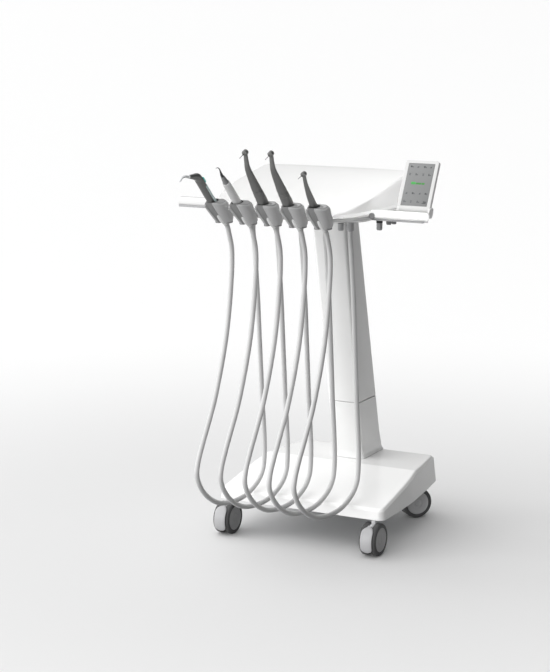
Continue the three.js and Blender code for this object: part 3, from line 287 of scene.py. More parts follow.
# %% A finish with drift, wipe marks and grain
DRIFT_SCALE, WIPE_SCALE = 9, 26  # waves to the metre
COAT_ROUGHNESS, BUMP_STRENGTH = 0.08, 0.35


def add_node(tree, kind, values):
    """A new shader node with values in its named inputs."""
    made = tree.nodes.new(kind)
    for name, value in values.items():
        made.inputs[name].default_value = value
    return made


def finish(name, colour, roughness, metallic=0.0, coat=0.0, drift=0.03, wipe=0.06, grain=1500.0, depth=0.00002,
           stretch=(1, 1, 1)):
    """A Principled material: colour * (1 - drift..1), roughness +- wipe, and a bump of the grain's noise."""
    made = bpy.data.materials.new(name)
    made.use_nodes = True
    tree, links = made.node_tree, made.node_tree.links
    shader = tree.nodes["Principled BSDF"]
    shader.inputs["Metallic"].default_value = metallic
    shader.inputs["Coat Weight"].default_value = coat
    shader.inputs["Coat Roughness"].default_value = COAT_ROUGHNESS
    place = tree.nodes.new("ShaderNodeTexCoord")
    scale = add_node(tree, "ShaderNodeMapping", {"Scale": stretch})
    links.new(place.outputs["Object"], scale.inputs["Vector"])

    def noise(size, detail):
        """A noise of size waves to the metre, read on the stretched coordinates."""
        waves = add_node(tree, "ShaderNodeTexNoise", {"Scale": size, "Detail": detail})
        links.new(scale.outputs["Vector"], waves.inputs["Vector"])
        return waves.outputs["Fac"]

    ramp = tree.nodes.new("ShaderNodeValToRGB")
    for stop, position, share in zip(ramp.color_ramp.elements, (0.3, 0.7), (1 - drift, 1)):
        stop.position = position
        stop.color = (*(c * share for c in colour), 1)
    links.new(noise(DRIFT_SCALE, 3), ramp.inputs["Fac"])
    links.new(ramp.outputs["Color"], shader.inputs["Base Color"])
    limits = {"To Min": max(roughness - wipe, 0.02), "To Max": roughness + wipe}
    gloss = add_node(tree, "ShaderNodeMapRange", limits)
    links.new(noise(WIPE_SCALE, 4), gloss.inputs["Value"])
    links.new(gloss.outputs["Result"], shader.inputs["Roughness"])
    bump = add_node(tree, "ShaderNodeBump", {"Strength": BUMP_STRENGTH, "Distance": depth})
    links.new(noise(grain, 2), bump.inputs["Height"])
    links.new(bump.outputs["Normal"], shader.inputs["Normal"])
    return made


white = finish("gloss_white_shell", (0.86, 0.86, 0.855), 0.24, coat=0.35, drift=0.015, wipe=0.04)
# painted shade: the table cover and the display panel are the same white plastic as the shell above, made darker here
# to dim them
shaded_table_white = finish("shaded_table_white", (0.71, 0.71, 0.705), 0.3, coat=0.3, drift=0.015, wipe=0.04)
cap_grey = finish("cap_grey", (0.28, 0.28, 0.285), 0.4, drift=0.06)
holder_grey = finish("holder_grey", (0.46, 0.46, 0.462), 0.42, drift=0.04, depth=0.00004)
# painted shade and own colour: this dark grey darkens the holders' slot and the band behind their rim, where shade
# falls, and is the foot blocks' own grey
painted_shade_and_lug_grey = finish("painted_shade_and_lug_grey", (0.25, 0.25, 0.25), 0.55, drift=0.05)
silicone = finish("hose_silicone", (0.62, 0.62, 0.62), 0.42, coat=0.1, drift=0.03, grain=2600)
# own grey of the sockets and couplings, and painted shade where it makes the strips under the handle and the rail
socket_grey_and_painted_shade = finish("socket_grey_and_painted_shade", (0.45, 0.45, 0.46), 0.4)
dark_metal = finish("dark_metal", (0.16, 0.16, 0.157), 0.34, metallic=0.7, drift=0.06, stretch=(1, 1, 6))
sleeve_pale = finish("scaler_sleeve", (0.68, 0.68, 0.68), 0.25, coat=0.2)
steel = finish("tip_steel", (0.42, 0.42, 0.43), 0.22, metallic=1.0, drift=0.08)
nozzle_pale = finish("nozzle_pale", (0.84, 0.86, 0.87), 0.2, coat=0.4)
boot_pale = finish("boot_pale", (0.8, 0.8, 0.8), 0.5)
grip_pale = finish("grip_pale", (0.55, 0.66, 0.66), 0.5)
teal = finish("button_teal", (0.06, 0.68, 0.58), 0.3, coat=0.2, drift=0.06)
caster_white = finish("caster_white", (0.63, 0.63, 0.64), 0.26, coat=0.25, drift=0.02)
tyre_grey = finish("tyre_grey", (0.07, 0.07, 0.071), 0.55, drift=0.12, wipe=0.1, grain=900, depth=0.0001)
disc_grey = finish("disc_grey", (0.45, 0.45, 0.455), 0.4, drift=0.06)
pedal_grey = finish("pedal_grey", (0.48, 0.48, 0.49), 0.35, drift=0.04)
plate_steel = finish("plate_steel", (0.5, 0.51, 0.52), 0.35, metallic=1.0, drift=0.08, stretch=(1, 12, 1))
fitting_grey = finish("fitting_grey", (0.16, 0.165, 0.17), 0.4, drift=0.08)
screen_grey = finish("screen_grey", (0.2, 0.205, 0.205), 0.12, coat=0.8, drift=0.03, wipe=0.03)
print(len(bpy.data.materials), "finishes")

# %% Finishes for the CAD's own pieces
by_slot = {
    "white": white, "plate": plate_steel, "holder": holder_grey, "hose": silicone, "socket": socket_grey_and_painted_shade,
    "dark_metal": dark_metal, "scaler_sleeve": sleeve_pale, "tip_metal": steel, "nozzle": nozzle_pale,
    "button": teal, "caster": caster_white, "wheel": tyre_grey, "pedal": pedal_grey, "fitting": fitting_grey,
    "screen": screen_grey,
}


def wear(piece, material):
    """Puts one material in the piece's only slot."""
    piece.data.materials.clear()
    piece.data.materials.append(material)
    return piece


for row in frame["record"]["subparts"]:
    wear(frame["nodes"][row["node"]], by_slot[row["material_slot"]])
for hose in hoses:
    wear(hose, silicone)

# %% [markdown]
# Every other new piece is made in the same three steps: a mesh on its body, a material, and the name of the CAD
# node that it stands for, if there is one.

# %% One finished piece
def body_of(node):
    """The name of the body that a CAD node rides on."""
    return frame["nodes"][node]["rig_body"]


def build(name, sheets, body, material, node=None, sharp=SHARP):
    """A skin that wears a material and, where node is given, replaces a CAD node."""
    made = wear(skin(name, sheets, body, sharp), material)
    if node:
        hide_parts(node)
    return made


# %% [markdown]
# Moulded covers have soft edges. Two helpers draw their outlines: one rounds the corners of any line of points,
# the other mirrors half an outline, because the unit is the same on both sides.

# %% Outlines
def bend(t, start, corner, end):
    """The curve (1-t)^2 start + 2t(1-t) corner + t^2 end, which leaves and arrives along the corner's two sides."""
    return (1 - t) ** 2 * start + 2 * t * (1 - t) * corner + t**2 * end


def soften(points, radius, steps, closed=False):
    """Each corner is bent between a point on either of its sides, radius away or a little less than half a side."""
    points = np.asarray(points, float)
    before, after = np.roll(points, 1, 0), np.roll(points, -1, 0)
    radius = np.broadcast_to(np.asarray(radius, float), len(points))

    def towards(other):
        """The point on each side at which its corner's curve begins."""
        gap = np.linalg.norm(other - points, axis=1)
        return points + (other - points) * (np.minimum(radius, 0.45 * gap) / np.maximum(gap, 1e-9))[:, None]

    start, end = towards(before), towards(after)
    curve = bend(np.linspace(0, 1, steps)[None, :, None], start[:, None], points[:, None], end[:, None])
    if closed:
        return curve.reshape(-1, points.shape[1])
    return np.vstack([points[:1], curve[1:-1].reshape(-1, points.shape[1]), points[-1:]])


def arc(x, y, radius, start, end, steps=8):
    """Points of a circle about (x, y) between two angles in degrees."""
    a = np.radians(np.linspace(start, end, steps + 1))
    return np.column_stack([x + radius * np.cos(a), y + radius * np.sin(a)])


def mirrored(half, z):
    """A half outline with X above 0, front to back, at height z, and its mirror image, as one ring."""
    half = np.column_stack([half, np.broadcast_to(z, len(half))])
    return np.vstack([half, half[::-1] * (-1, 1, 1)])


def rounded_rect(width, height, radius, steps=8):
    """A rectangle about the origin with round corners, anticlockwise from its lower right."""
    x, y = width / 2 - radius, height / 2 - radius
    return np.vstack([arc(x, -y, radius, -90, 0, steps), arc(x, y, radius, 0, 90, steps),
                      arc(-x, y, radius, 90, 180, steps), arc(-x, -y, radius, 180, 270, steps)])


# %% [markdown]
# The base is a low wedge: its top slopes up from the front and turns level in a straight crease before the column.
# The level part is needed for the column to stand square, so the crease stays sharp and the rim is rounded.

# %% Base cover
BASE_TOP_FRONT, BASE_TOP_REAR, BASE_UNDERSIDE = 106, 148, 81
BASE_CREASE_Y, BASE_MID_Y, BASE_DEPTH = 218, 172, 393
BASE_FRONT_HALF, BASE_MID_HALF, BASE_REAR_HALF = 214, 210, 182
BASE_CORNER, BASE_EDGE, BASE_LEAN = 16, 6, 14


def between(ends, t):
    """Straight from the first of two values at t = 0 to the second at t = 1."""
    return ends[0] + (ends[1] - ends[0]) * t


def base_top(y):
    """Straight from the front's height to the rear's at the crease, then level."""
    return between((BASE_TOP_FRONT, BASE_TOP_REAR), np.clip(y / BASE_CREASE_Y, 0, 1))


def base_half(inset):
    """Front edge, round corner, a side that draws in behind its middle, round corner, rear edge."""
    front, mid, rear = BASE_FRONT_HALF - inset, BASE_MID_HALF - inset, BASE_REAR_HALF - inset
    back, corner = BASE_DEPTH - inset, BASE_CORNER - min(inset, 8)
    line = np.vstack([
        [(front / 2, inset)], arc(front - corner, inset + corner, corner, -90, 0),
        [(mid + 1, BASE_MID_Y - 30), (mid - 2, BASE_MID_Y + 12)],
        [(mid + (rear - mid) * s, BASE_MID_Y + (back - BASE_MID_Y) * s) for s in (0.2, 0.6)],
        arc(rear - corner, back - corner, corner, 0, 90), [(rear / 2, back)],
    ])
    return smooth_line(line, 240)


def base_ring(inset, lean, drop, height=None):
    """A ring of the base: the rear leans forward by lean, and it lies at the top's height less drop, or level."""
    x, y = base_half(inset).T
    y = y - lean * np.maximum(y - BASE_MID_Y, 0) / (BASE_DEPTH - BASE_MID_Y)
    return mirrored(np.column_stack([x, y]), base_top(y) - drop if height is None else height)


rings = [base_ring(inset, 0, 0, BASE_UNDERSIDE + up) for inset, up in ((5, 8), (5, 0.4), (4.4, 0), (0.6, 0), (0, 0.6))]
rings.append(base_ring(2.8, 0.7 * BASE_LEAN, BASE_EDGE))
for turn in np.radians(np.linspace(20, 90, 7)):
    rings.append(base_ring(4 + BASE_EDGE * (1 - math.cos(turn)), BASE_LEAN, BASE_EDGE * (1 - math.sin(turn))))
base_shell = build("base_shell", [(rings, "ladder")], "unit", white, "base_cover", math.radians(8))
print("base cover:", len(base_shell.data.vertices), "points")

# %% [markdown]
# Two sleeves cover the mast. They lean forward as they rise, bow a little at the front and swell at the foot. The
# seam between them shows on the real unit as a fine dark line, so their rims are rounded and stand apart.

# %% Column covers
COLUMN_FOOT, COLUMN_SEAM, COLUMN_HEAD = 148, 292, 764
COLUMN_WALL, COLUMN_RIM, COLUMN_CORNER, COLUMN_BOW = 4, 1.2, 9, 2.5
COLUMN_HALF, COLUMN_FRONT, COLUMN_DEPTH = (40, 43), (259, 139), (114, 78)  # at the foot and at the head
SWELL, SWELL_HEIGHT = 5, 24


def column_ring(z, inset):
    """A round-cornered section whose width, depth and front run straight from foot to top, plus the foot's swell."""
    t = (z - COLUMN_FOOT) / (COLUMN_HEAD - COLUMN_FOOT)
    flare = SWELL * max(1 - (z - COLUMN_FOOT) / SWELL_HEIGHT, 0) ** 2
    half = between(COLUMN_HALF, t) - inset + flare
    front = between(COLUMN_FRONT, t) + inset - flare
    depth = between(COLUMN_DEPTH, t) - 2 * inset + 2 * flare
    corner = max(COLUMN_CORNER - inset, 2)
    face = np.linspace(0.04, 1, 9) * (half - corner)
    bow = front - COLUMN_BOW * (1 - (face / (half - corner)) ** 2)
    outline = np.vstack([np.column_stack([face, bow]), arc(half - corner, front + corner, corner, -90, 0)[1:],
                         arc(half - corner, front + depth - corner, corner, 0, 90), [(half / 3, front + depth)]])
    return mirrored(outline, z)


def sleeve_of(low, high, levels):
    """Outer rings from low to high with rounded rims, and inner rings back down."""
    outer = [column_ring(z, 0) for z in np.linspace(low + COLUMN_RIM, high - COLUMN_RIM, levels)]
    return [column_ring(low, COLUMN_RIM), *outer, column_ring(high, COLUMN_RIM), column_ring(high, COLUMN_WALL),
            column_ring(low, COLUMN_WALL)]


sleeves = []
for name, low, high, levels in (("lower", COLUMN_FOOT + GAP, COLUMN_SEAM - 0.5, 40),
                                ("upper", COLUMN_SEAM + 0.5, COLUMN_HEAD - GAP, 24)):
    sleeves.append(build(f"column_{name}_sleeve", [(sleeve_of(low, high, levels), "loop")], "unit", white,
                         f"column_{name}_cover"))
    print(sleeves[-1].name, round(high - low), "mm tall")

# %% [markdown]
# The table is a crowned wedge. Its front corners are swept back, its top rises fastest at the front, and its walls
# lean in below a crisp upper edge. One function gives the half width at any depth and one the height of the top,
# so that walls, edge and top all meet without a seam.

# %% Table cover
TABLE_FRONT, TABLE_REAR, TABLE_HALF = -118, 193, 189
TABLE_LOW_Z, TABLE_LIP_Z, TABLE_FRONT_Z = 778.8, 781.8, 784
TABLE_RISE, TABLE_CROWN, TABLE_CORNER = 76, 7, 14
SWEEP, SWEEP_POWER, RISE_POWER, CROWN_POWER = 0.26, 6, 0.66, 2.5
WALL_LEAN, REAR_LEAN, LEAN_START, LEAN_SPAN = 12, 26, 10, 80  # the lean's sizes, and where along the side it grows


def depth_share(y):
    """0 at the table's front edge and 1 at its rear."""
    return np.clip((y - TABLE_FRONT) / (TABLE_REAR - TABLE_FRONT), 0, 1)


def table_half_width(y):
    """The rear's half width, less a quarter at the front edge that fades with the sixth power of the depth."""
    return TABLE_HALF * (1 - SWEEP * (1 - depth_share(y)) ** SWEEP_POWER)


def table_top(x, y):
    """Front to rear height by a power of the depth, plus a crown that is nought round the edge."""
    share = depth_share(y)
    across = np.minimum(np.abs(x) / table_half_width(y), 1)
    crown = TABLE_CROWN * np.sqrt(4 * share * (1 - share)) * (1 - across**CROWN_POWER)
    return TABLE_FRONT_Z + TABLE_RISE * share**RISE_POWER + crown


def table_half(inset):
    """Front edge, swept corner, nearly parallel side, round rear corner, rear edge."""
    front, rear, corner = TABLE_FRONT + inset, TABLE_REAR - inset, TABLE_CORNER
    front_half, rear_half = table_half_width(front) - inset, table_half_width(rear) - inset
    y = front + (rear - front) * np.array([0.09, 0.17, 0.27, 0.42, 0.6, 0.8])
    line = np.vstack([
        [(front_half * 0.3, front), (front_half * 0.65, front)],
        arc(front_half - corner, front + corner, corner, -90, -30, 3),
        np.column_stack([table_half_width(y) - inset, y]),
        arc(rear_half - corner, rear - corner, corner, 0, 90, 4),
        [(rear_half * 0.65, rear), (rear_half * 0.3, rear)],
    ])
    return smooth_line(line, 150)


def table_ring(inset, undercut, height):
    """A ring that leans in by undercut, least at the front, with the rear face sloping forward."""
    outer, inner = table_half(inset), table_half(inset + WALL_LEAN * undercut)
    x = between((outer[:, 0], inner[:, 0]), np.clip((outer[:, 1] - TABLE_FRONT - LEAN_START) / LEAN_SPAN, 0, 1))
    y = outer[:, 1] - undercut * REAR_LEAN * np.maximum(outer[:, 1], 0) / TABLE_REAR
    return mirrored(np.column_stack([x, y]), height(x, y))


def rise(x, y):
    """How far the top stands over the lip."""
    return table_top(x, y) - TABLE_LIP_Z


wall = [table_ring(inset, 1, lambda x, y: z) for inset, z in
        ((5, TABLE_LOW_Z), (2.4, TABLE_LOW_Z), (2, TABLE_LOW_Z + 0.5), (1.5, TABLE_LIP_Z))]
wall.append(table_ring(1, 1.2, lambda x, y: TABLE_LIP_Z + np.minimum(5, 0.25 * rise(x, y))))
upper = table_ring(0, 0, lambda x, y: TABLE_LIP_Z + np.maximum(rise(x, y) - 5, 0.55 * rise(x, y)))
corner_line = table_ring(0, 0, table_top)
edge = table_ring(5, 0, table_top)
wall += [between((wall[-1], upper), s) for s in (0.25, 0.5, 0.75)]
wall += [bend(t, upper, corner_line, edge) for t in np.linspace(0, 1, 7)]
middle = (TABLE_FRONT + TABLE_REAR) / 2
for share in (*np.linspace(0.985, 0.1, 26), 0.02):
    x, y = edge[:, 0] * share, middle + (edge[:, 1] - middle) * share
    wall.append(np.column_stack([x, y, table_top(x, y)]))
# painted shade: the cover wears the darker copy of the white
table_shell = build("table_shell", flat(wall), "unit", shaded_table_white, "table_cover", CRISP)
print("table cover:", len(table_shell.data.polygons), "faces")

# %% [markdown]
# Under the cover lies a shallow pan. Its rim follows the cover's outline, set back a little, and a shelf for the
# rail and the display grows out of its right side. The real pan is one moulding, so both are one piece here too.

# %% Table pan and shelf
PAN_FRONT, PAN_REAR, PAN_LOW, PAN_HIGH = -115, 163, 764, 778.5
SHELF_LOW, SHELF_HIGH = 768, 783
SHELF_FRONT, SHELF_BACK, SHELF_REACH, WING_REACH = 2.8, 44.8, 312, 317


def pan_half_width(y, inset):
    """The pan's half width at a depth: the table's, set back by 4 mm and the inset."""
    return table_half_width(y) - 4 - inset


def pan_ring(z, inset, front_inset):
    """The pan's outline at one height: inset at the sides and rear, front_inset at the front."""
    front, rear, corner = PAN_FRONT + front_inset, PAN_REAR - inset, TABLE_CORNER
    front_half = pan_half_width(PAN_FRONT + front_inset / 3, inset)
    rear_half = pan_half_width(rear, inset)
    y = front + corner + (rear - front - corner) * np.array([0.12, 0.3, 0.6])
    line = np.vstack([
        [(front_half * 0.5, front)], arc(front_half - corner, front + corner, corner, -90, -30, 3),
        np.column_stack([np.minimum(pan_half_width(y, inset), front_half + 60 * (y - front) / 70), y]),
        arc(rear_half - corner, rear - corner, corner, 0, 90, 4), [(rear_half * 0.5, rear)],
    ])
    return mirrored(smooth_line(line, 120), z)


def slab_rings(outline, low, high, edge):
    """A plate over a closed outline: its rim is a half-round of radius edge at the top and at the bottom."""
    outline = np.asarray(outline, float)
    ahead = np.roll(outline, -1, 0) - np.roll(outline, 1, 0)
    inward = np.column_stack([-ahead[:, 1], ahead[:, 0]]) / np.linalg.norm(ahead, axis=1)[:, None]
    turns = np.radians(np.concatenate([np.linspace(-90, 0, 5), np.linspace(0, 90, 5)]))
    heights = np.concatenate([low + edge * (1 + np.sin(turns[:5])), high - edge * (1 - np.sin(turns[5:]))])
    return [np.column_stack([outline + inward * edge * (1 - math.cos(t)), np.full(len(outline), z)])
            for t, z in zip(turns, heights)]


pan = [pan_ring(*row) for row in (
    (PAN_LOW, 14, 70), (PAN_LOW + 1.2, 9, 45), (PAN_LOW + 3, 6, 30), (PAN_HIGH - 7, 1, 4),
    (PAN_HIGH - 5.6, 0, 0), (PAN_HIGH - 0.4, 0, 0), (PAN_HIGH, 0.5, 0.5))]


def shelf_outline(start):
    """The shelf seen from above, anticlockwise, with its outer corners rounded."""
    corners = [(start, SHELF_FRONT), (SHELF_REACH, SHELF_FRONT), (SHELF_REACH - 8, SHELF_FRONT + 17),
               (SHELF_REACH - 22, SHELF_BACK), (start, SHELF_BACK)]
    return soften(corners, (0.5, 5, 10, 12, 0.5), 9, closed=True)


root = slab_rings(shelf_outline(140), SHELF_LOW, PAN_HIGH, 1.5)
shelf = slab_rings(shelf_outline(186), SHELF_LOW, SHELF_HIGH, 2.5)
build("pan_and_shelf", [(pan, "ladder"), *flat(root, shelf)], "unit", white, "table_pan")
print("shelf reaches", SHELF_REACH, "mm from the middle")

# %% [markdown]
# The left handle is a plain bar with softened edges. On the right a round rail stands in front of the shelf, with
# a small cap at its inner end. A thin grey strip under each is painted shade: the dark line where shade falls below
# them.

# %% Handle, rail and cap
HANDLE_START, HANDLE_END, HANDLE_Y, HANDLE_Z = -308, -180, -8, 785.5
RAIL_RADIUS, RAIL_START, RAIL_Y, RAIL_Z = 10.5, 181, -8, 781


def bar(outline, start, end, edge):
    """An outline in Y and Z carried along X, with rounded ends."""
    return [ring[:, [2, 0, 1]] for ring in slab_rings(outline, start, end, edge)]


def turned(profile, sides, rounding):
    """A profile of (radius, height) turned about the Y axis: (r cos a, h, -r sin a), its corners softened."""
    profile = soften(profile, rounding, 4)
    a = np.linspace(0, 2 * math.pi, sides, endpoint=False)[None, :]
    r, h = profile[:, :1], np.repeat(profile[:, 1:], sides, 1)
    return np.stack([r * np.cos(a), h, -r * np.sin(a)], -1)


def swing(grid, plane, angle, at):
    """Turns a grid by an angle in the plane of two axes, (u cos a - v sin a, u sin a + v cos a), and moves it."""
    grid = np.array(grid, float)
    u, v = np.moveaxis(grid[..., plane], -1, 0)
    c, s = math.cos(angle), math.sin(angle)
    grid[..., plane] = np.stack([u * c - v * s, u * s + v * c], -1)
    return grid + at


def axis_x(grid, at):
    """Turns a piece made about Y so that it lies along X, and puts it at a point."""
    return grid[..., [1, 0, 2]] * (1, -1, 1) + at


def hung(grid, at):
    """Turns a piece made about Y so that its Y axis points up, and puts it at a point."""
    return grid[..., [0, 2, 1]] * (1, -1, 1) + at


handle_outline = rounded_rect(23, 19, 7) + (HANDLE_Y, HANDLE_Z)
build("left_bar", flat(bar(handle_outline, HANDLE_START, HANDLE_END, 2)), "unit", white, "left_handle")
# painted shade: a grey strip along the bar's lower edge, where shade falls under it
shade_strip_outline = rounded_rect(18, 4.6, 1.6) + (HANDLE_Y, HANDLE_Z - 11.2)
build("left_bar_shade_strip", flat(bar(shade_strip_outline, HANDLE_START + 1, HANDLE_END, 1)), "unit", socket_grey_and_painted_shade)
rail_length = WING_REACH - RAIL_START
rail_profile = [(0, 0), (RAIL_RADIUS - 2, 0), (RAIL_RADIUS, 2), (RAIL_RADIUS, rail_length - 7),
                (RAIL_RADIUS - 1, rail_length - 3), (RAIL_RADIUS - 4, rail_length), (0, rail_length)]
rail_grid = axis_x(turned(rail_profile, 56, 2), (RAIL_START, RAIL_Y, RAIL_Z))
rail = build("round_rail", flat(rail_grid), "unit", white, "right_rail")
# painted shade: a grey strip under the rail and the shelf, where shade falls under them
rail_shade_strip_outline = rounded_rect(9, 2.6, 1) + (RAIL_Y - 4.5, RAIL_Z - 10.8)
rail_shade_strip = bar(rail_shade_strip_outline, RAIL_START + 6, SHELF_REACH - 4, 0.6)
build("rail_shade_strip", flat(rail_shade_strip), "unit", socket_grey_and_painted_shade)
cap_profile = [(0, 0), (7, 0), (7, 2), (6.2, 3), (4.6, 3), (4.2, 2.4), (0, 2.4)]
cap = turned(cap_profile, 40, 0.3) * (1, -1, 1) + (RAIL_START + 6.5, RAIL_Y - RAIL_RADIUS - GAP, RAIL_Z - 2.2)
build("rail_end_cap", flat(cap), "unit", cap_grey, "rail_cap")
print("rail", rail_length, "mm long")

# %% [markdown]
# Five holders stand along the pan's front edge. Each is an open cup: a broad right cheek that leans with the
# instrument, a narrow left arm, and a slot between them through which the soft hose is pressed. Level sections of it
# are Cs, moved forward as they rise. A dark sheet inside the light shell is painted shade: it darkens the band behind
# the front rim and the slot's left side, where shade falls. The same dark grey makes the two blocks at the foot that
# are screwed to the pan.

# %% An instrument's own frame
TAIL_START, TAIL_END = 6, 62
TAIL_LOW_R, TAIL_HIGH_R = 6.8, 10.8
SEAT_KNOTS = (-8, TAIL_START, TAIL_END, 72), (TAIL_LOW_R, TAIL_LOW_R, TAIL_HIGH_R, 12.8)  # how far up, what radius
TOP_START, TOP_SPAN = 28, 24.5  # where a holder's top begins to slope, and over how many millimetres
TOP_RISE, TOP_SLOPE = 3.5, 0.17
RIGHT_START, RIGHT_SLOPE, LEFT_START, LEFT_FALL = 20, 0.35, -10, 8


def station(i, grid):
    """From holder i's frame (X right, Y up along the instrument, Z down and forward) to the drawing's."""
    return swing(grid, [1, 2], math.radians(90 + TILTS[i]), (holder_x(i), EXIT_Y, EXIT_Z))


def tail_radius(y):
    """The tail's radius grows evenly over the holder's length."""
    return TAIL_LOW_R + (TAIL_HIGH_R - TAIL_LOW_R) * (y - TAIL_START) / (TAIL_END - TAIL_START)


def seat_edge(height, tilt, spread, turns):
    """The seat's edge on a level: x^2 + (y cos tilt)^2 = r^2, with r taken where the point lies along the tail."""
    y = np.zeros(len(turns))
    for _ in range(3):
        up = height / math.cos(tilt) - y * math.sin(tilt)
        r = (np.interp(up, *SEAT_KNOTS) + GAP) * 1.02 + spread
        y = r * np.sin(turns) / math.cos(tilt)
    return r * np.cos(turns), y


def half_c(half, mouth, front, back, height, tilt, spread):
    """Half a C, from the slot round the front and the side to the back, and along the seat to the slot again."""
    slot, flare = mouth
    x, y = seat_edge(height, tilt, spread, np.linspace(math.pi / 2 - 0.03, -math.acos(slot), 18))
    lip = x[-1] + flare
    corner, hind = max(min(14, half - lip - 1.4), 1), min(half, back) * 0.55
    outer = np.vstack([[(x[-1], y[-1] - 0.3 * (y[-1] + front)), (lip, 1.2 - front), (lip + 1.2, -front)],
                       arc(half - corner, corner - front, corner, -90, 0, 12),
                       arc(half - hind, back - hind, hind, 0, 90, 9), [(0.4, back)]])
    return np.vstack([outer, np.column_stack([x, y])])


def c_ring(height, right_half, left_half, front, back, tilt, mouths, spread=0.0):
    """A right half and a mirrored left half. Towards the top the ring rises by up to 3.5 mm, slopes up to the back by
    a sixth, and falls at its right end and at its left front; every point then moves forward by its own height times
    tan(tilt)."""
    right_c, left_c = (half_c(half, mouth, front, back, height, tilt, spread)
                       for half, mouth in zip((right_half, left_half), mouths))
    x, y = np.vstack([right_c, left_c[::-1] * (-1, 1)]).T
    share = np.clip((height - TOP_START) / TOP_SPAN, 0, 1)
    left_front = LEFT_FALL * (x < LEFT_START) * np.clip(-y / front, 0, 1)
    up = height + share * (TOP_RISE + TOP_SLOPE * y - RIGHT_SLOPE * np.maximum(x - RIGHT_START, 0) - left_front)
    return np.column_stack([x, y - up * math.tan(tilt), up])


# %% Holders
SHELL_MOUTHS = ((0.55, 0.6), (0.93, 0.3))  # each side's slot edge as a share of the seat's radius, and its flare
SHADE_SHEET_MOUTHS = ((0.55, 0.4), (0.0, 9.9))
SHELL_SPREAD = 1.7  # of the shell's seat, which leaves room for the dark sheet of painted shade
LUG_DEPTH, LUG_LOW, LUG_HIGH = 23, 1, 22.5
LUG_SPANS = ((-18.5, -7.5), (7.5, 15.5))
shell_rows = [  # height, right half, left half, front, back
    (2.2, 12, 14.5, 14, 6.5), (2.9, 13, 15.2, 14.8, 7), (4.5, 15.5, 16, 15.6, 7.8), (8, 19.5, 17.5, 16.4, 10.2),
    (13, 22.8, 18.3, 17, 13.4), (21, 25, 19, 18, 15.6), (29, 26.4, 19.5, 19, 17), (38, 27.6, 19.7, 19.8, 18.5),
    (47.5, 29.5, 19.7, 20.4, 20), (50.5, 29.8, 19.2, 20.1, 19.6), (51.9, 29.2, 18.4, 19.3, 18.8),
    (52.5, 28.2, 17.2, 18.2, 17.7),
]
shade_sheet_rows = [
    (2.4, 11, 14, 12.7, 6.4), (8, 17.5, 16, 15.1, 10), (21, 22.8, 17, 16.7, 15), (38, 25.4, 17.6, 18.5, 18.3),
    (51.8, 27.4, 17.4, 18.6, 19.2), (53.1, 26.8, 16.8, 17.8, 18.6),
]


def lug(left, right):
    """A block that fixes a holder to the pan: a round-cornered outline in Y and Z, carried along X."""
    middle_y = PAN_FRONT - GAP - LUG_DEPTH / 2 - EXIT_Y
    outline = rounded_rect(LUG_DEPTH, LUG_HIGH - LUG_LOW, 3) + (middle_y, (LUG_HIGH + LUG_LOW) / 2)
    return np.stack(bar(outline, left, right, 2))


holder_pieces = []
for i in HOLDERS:
    tilt = math.radians(TILTS[i])
    exit_at = (holder_x(i), EXIT_Y, EXIT_Z)
    shell = np.array([c_ring(*row, tilt, SHELL_MOUTHS, SHELL_SPREAD) for row in shell_rows]) + exit_at
    # painted shade: a dark sheet in the slot and behind the front rim, where shade falls
    shade_sheet_rings = np.array([c_ring(*row, tilt, SHADE_SHEET_MOUTHS) for row in shade_sheet_rows]) + exit_at
    blocks = [lug(*ends) + exit_at for ends in LUG_SPANS]
    holder_pieces += [
        build(f"holder_{i + 1}_shell", flat(shell), "unit", holder_grey, f"holder_{i + 1}", CRISP),
        build(f"holder_{i + 1}_shade_sheet_and_lugs", flat(shade_sheet_rings, *blocks), "unit", painted_shade_and_lug_grey, sharp=CRISP),
    ]
print("holder is", shell_rows[-1][0] - shell_rows[0][0], "mm tall")

# %% [markdown]
# An instrument is turned about its long axis, or is a neck that bends and tapers. The tail is the same on all of
# them, because they all sit in the same seat. Its lower part is the hose's pale boot, which shows through the slot.
# Shallow grooves mark where one part of the real tool screws on to the next.

# %% Turned bodies and tapered necks
BOOT_END = 50
TAIL = [(0, BOOT_END - 1), (tail_radius(BOOT_END) - 0.6, BOOT_END - 1), (tail_radius(BOOT_END), BOOT_END),
        (TAIL_HIGH_R, TAIL_END)]
BOOT = [(-0.5, 0, 5.7), (8, 1.5, 6), (18, 4.5, 6), (34, 5.2, 6), (46, 3, 6.4), (BOOT_END + 3, 1, 6.6)]


def groove(y, radius, depth=0.5, width=1.2):
    """Four profile points that cut a shallow ring into a turned body."""
    return [(radius, y - width), (radius - depth, y - width / 2), (radius - depth, y + width / 2), (radius, y + width)]


def neck(knots, steps=60, sides=32, rounding=1.5):
    """Circles of changing radius along a smooth line through (y, z, radius) knots, with rounded ends."""
    line = smooth_line(knots, steps)
    run = np.concatenate([[0], np.cumsum(np.linalg.norm(np.diff(line[:, :2], axis=0), axis=1))])
    ends = np.minimum(run, run[-1] - run)
    inset = rounding - np.sqrt(np.maximum(rounding**2 - np.maximum(rounding - ends, 0) ** 2, 0))
    return tube(np.column_stack([np.zeros(steps), line[:, :2]]), np.maximum(line[:, 2] - inset, 0.05), sides)


def pointed(grid, y, z, direction):
    """Turns a piece made about Y towards a direction in the Y-Z plane and sets it at (y, z)."""
    return swing(grid, [1, 2], math.atan2(direction[1], direction[0]), (0, y, z))


tool_pieces = [build(f"boot_{i + 1}", flat(station(i, neck(BOOT, 60, 32, 0.6))), "unit", boot_pale)
               for i in HOLDERS]


def tool(name, i, grids, body, material, node):
    """One instrument piece from grids in its station's frame."""
    sheets = flat(*(station(i, grid) for grid in grids))
    tool_pieces.append(build(name, sheets, body, material, node, math.radians(34)))


# %% [markdown]
# The syringe is an elbowed tube. Two thumb buttons sit in pockets behind its head, one for water and one for air,
# and a bent nozzle turns in the head. The paler strip beside the buttons is a soft grip on the real tool.

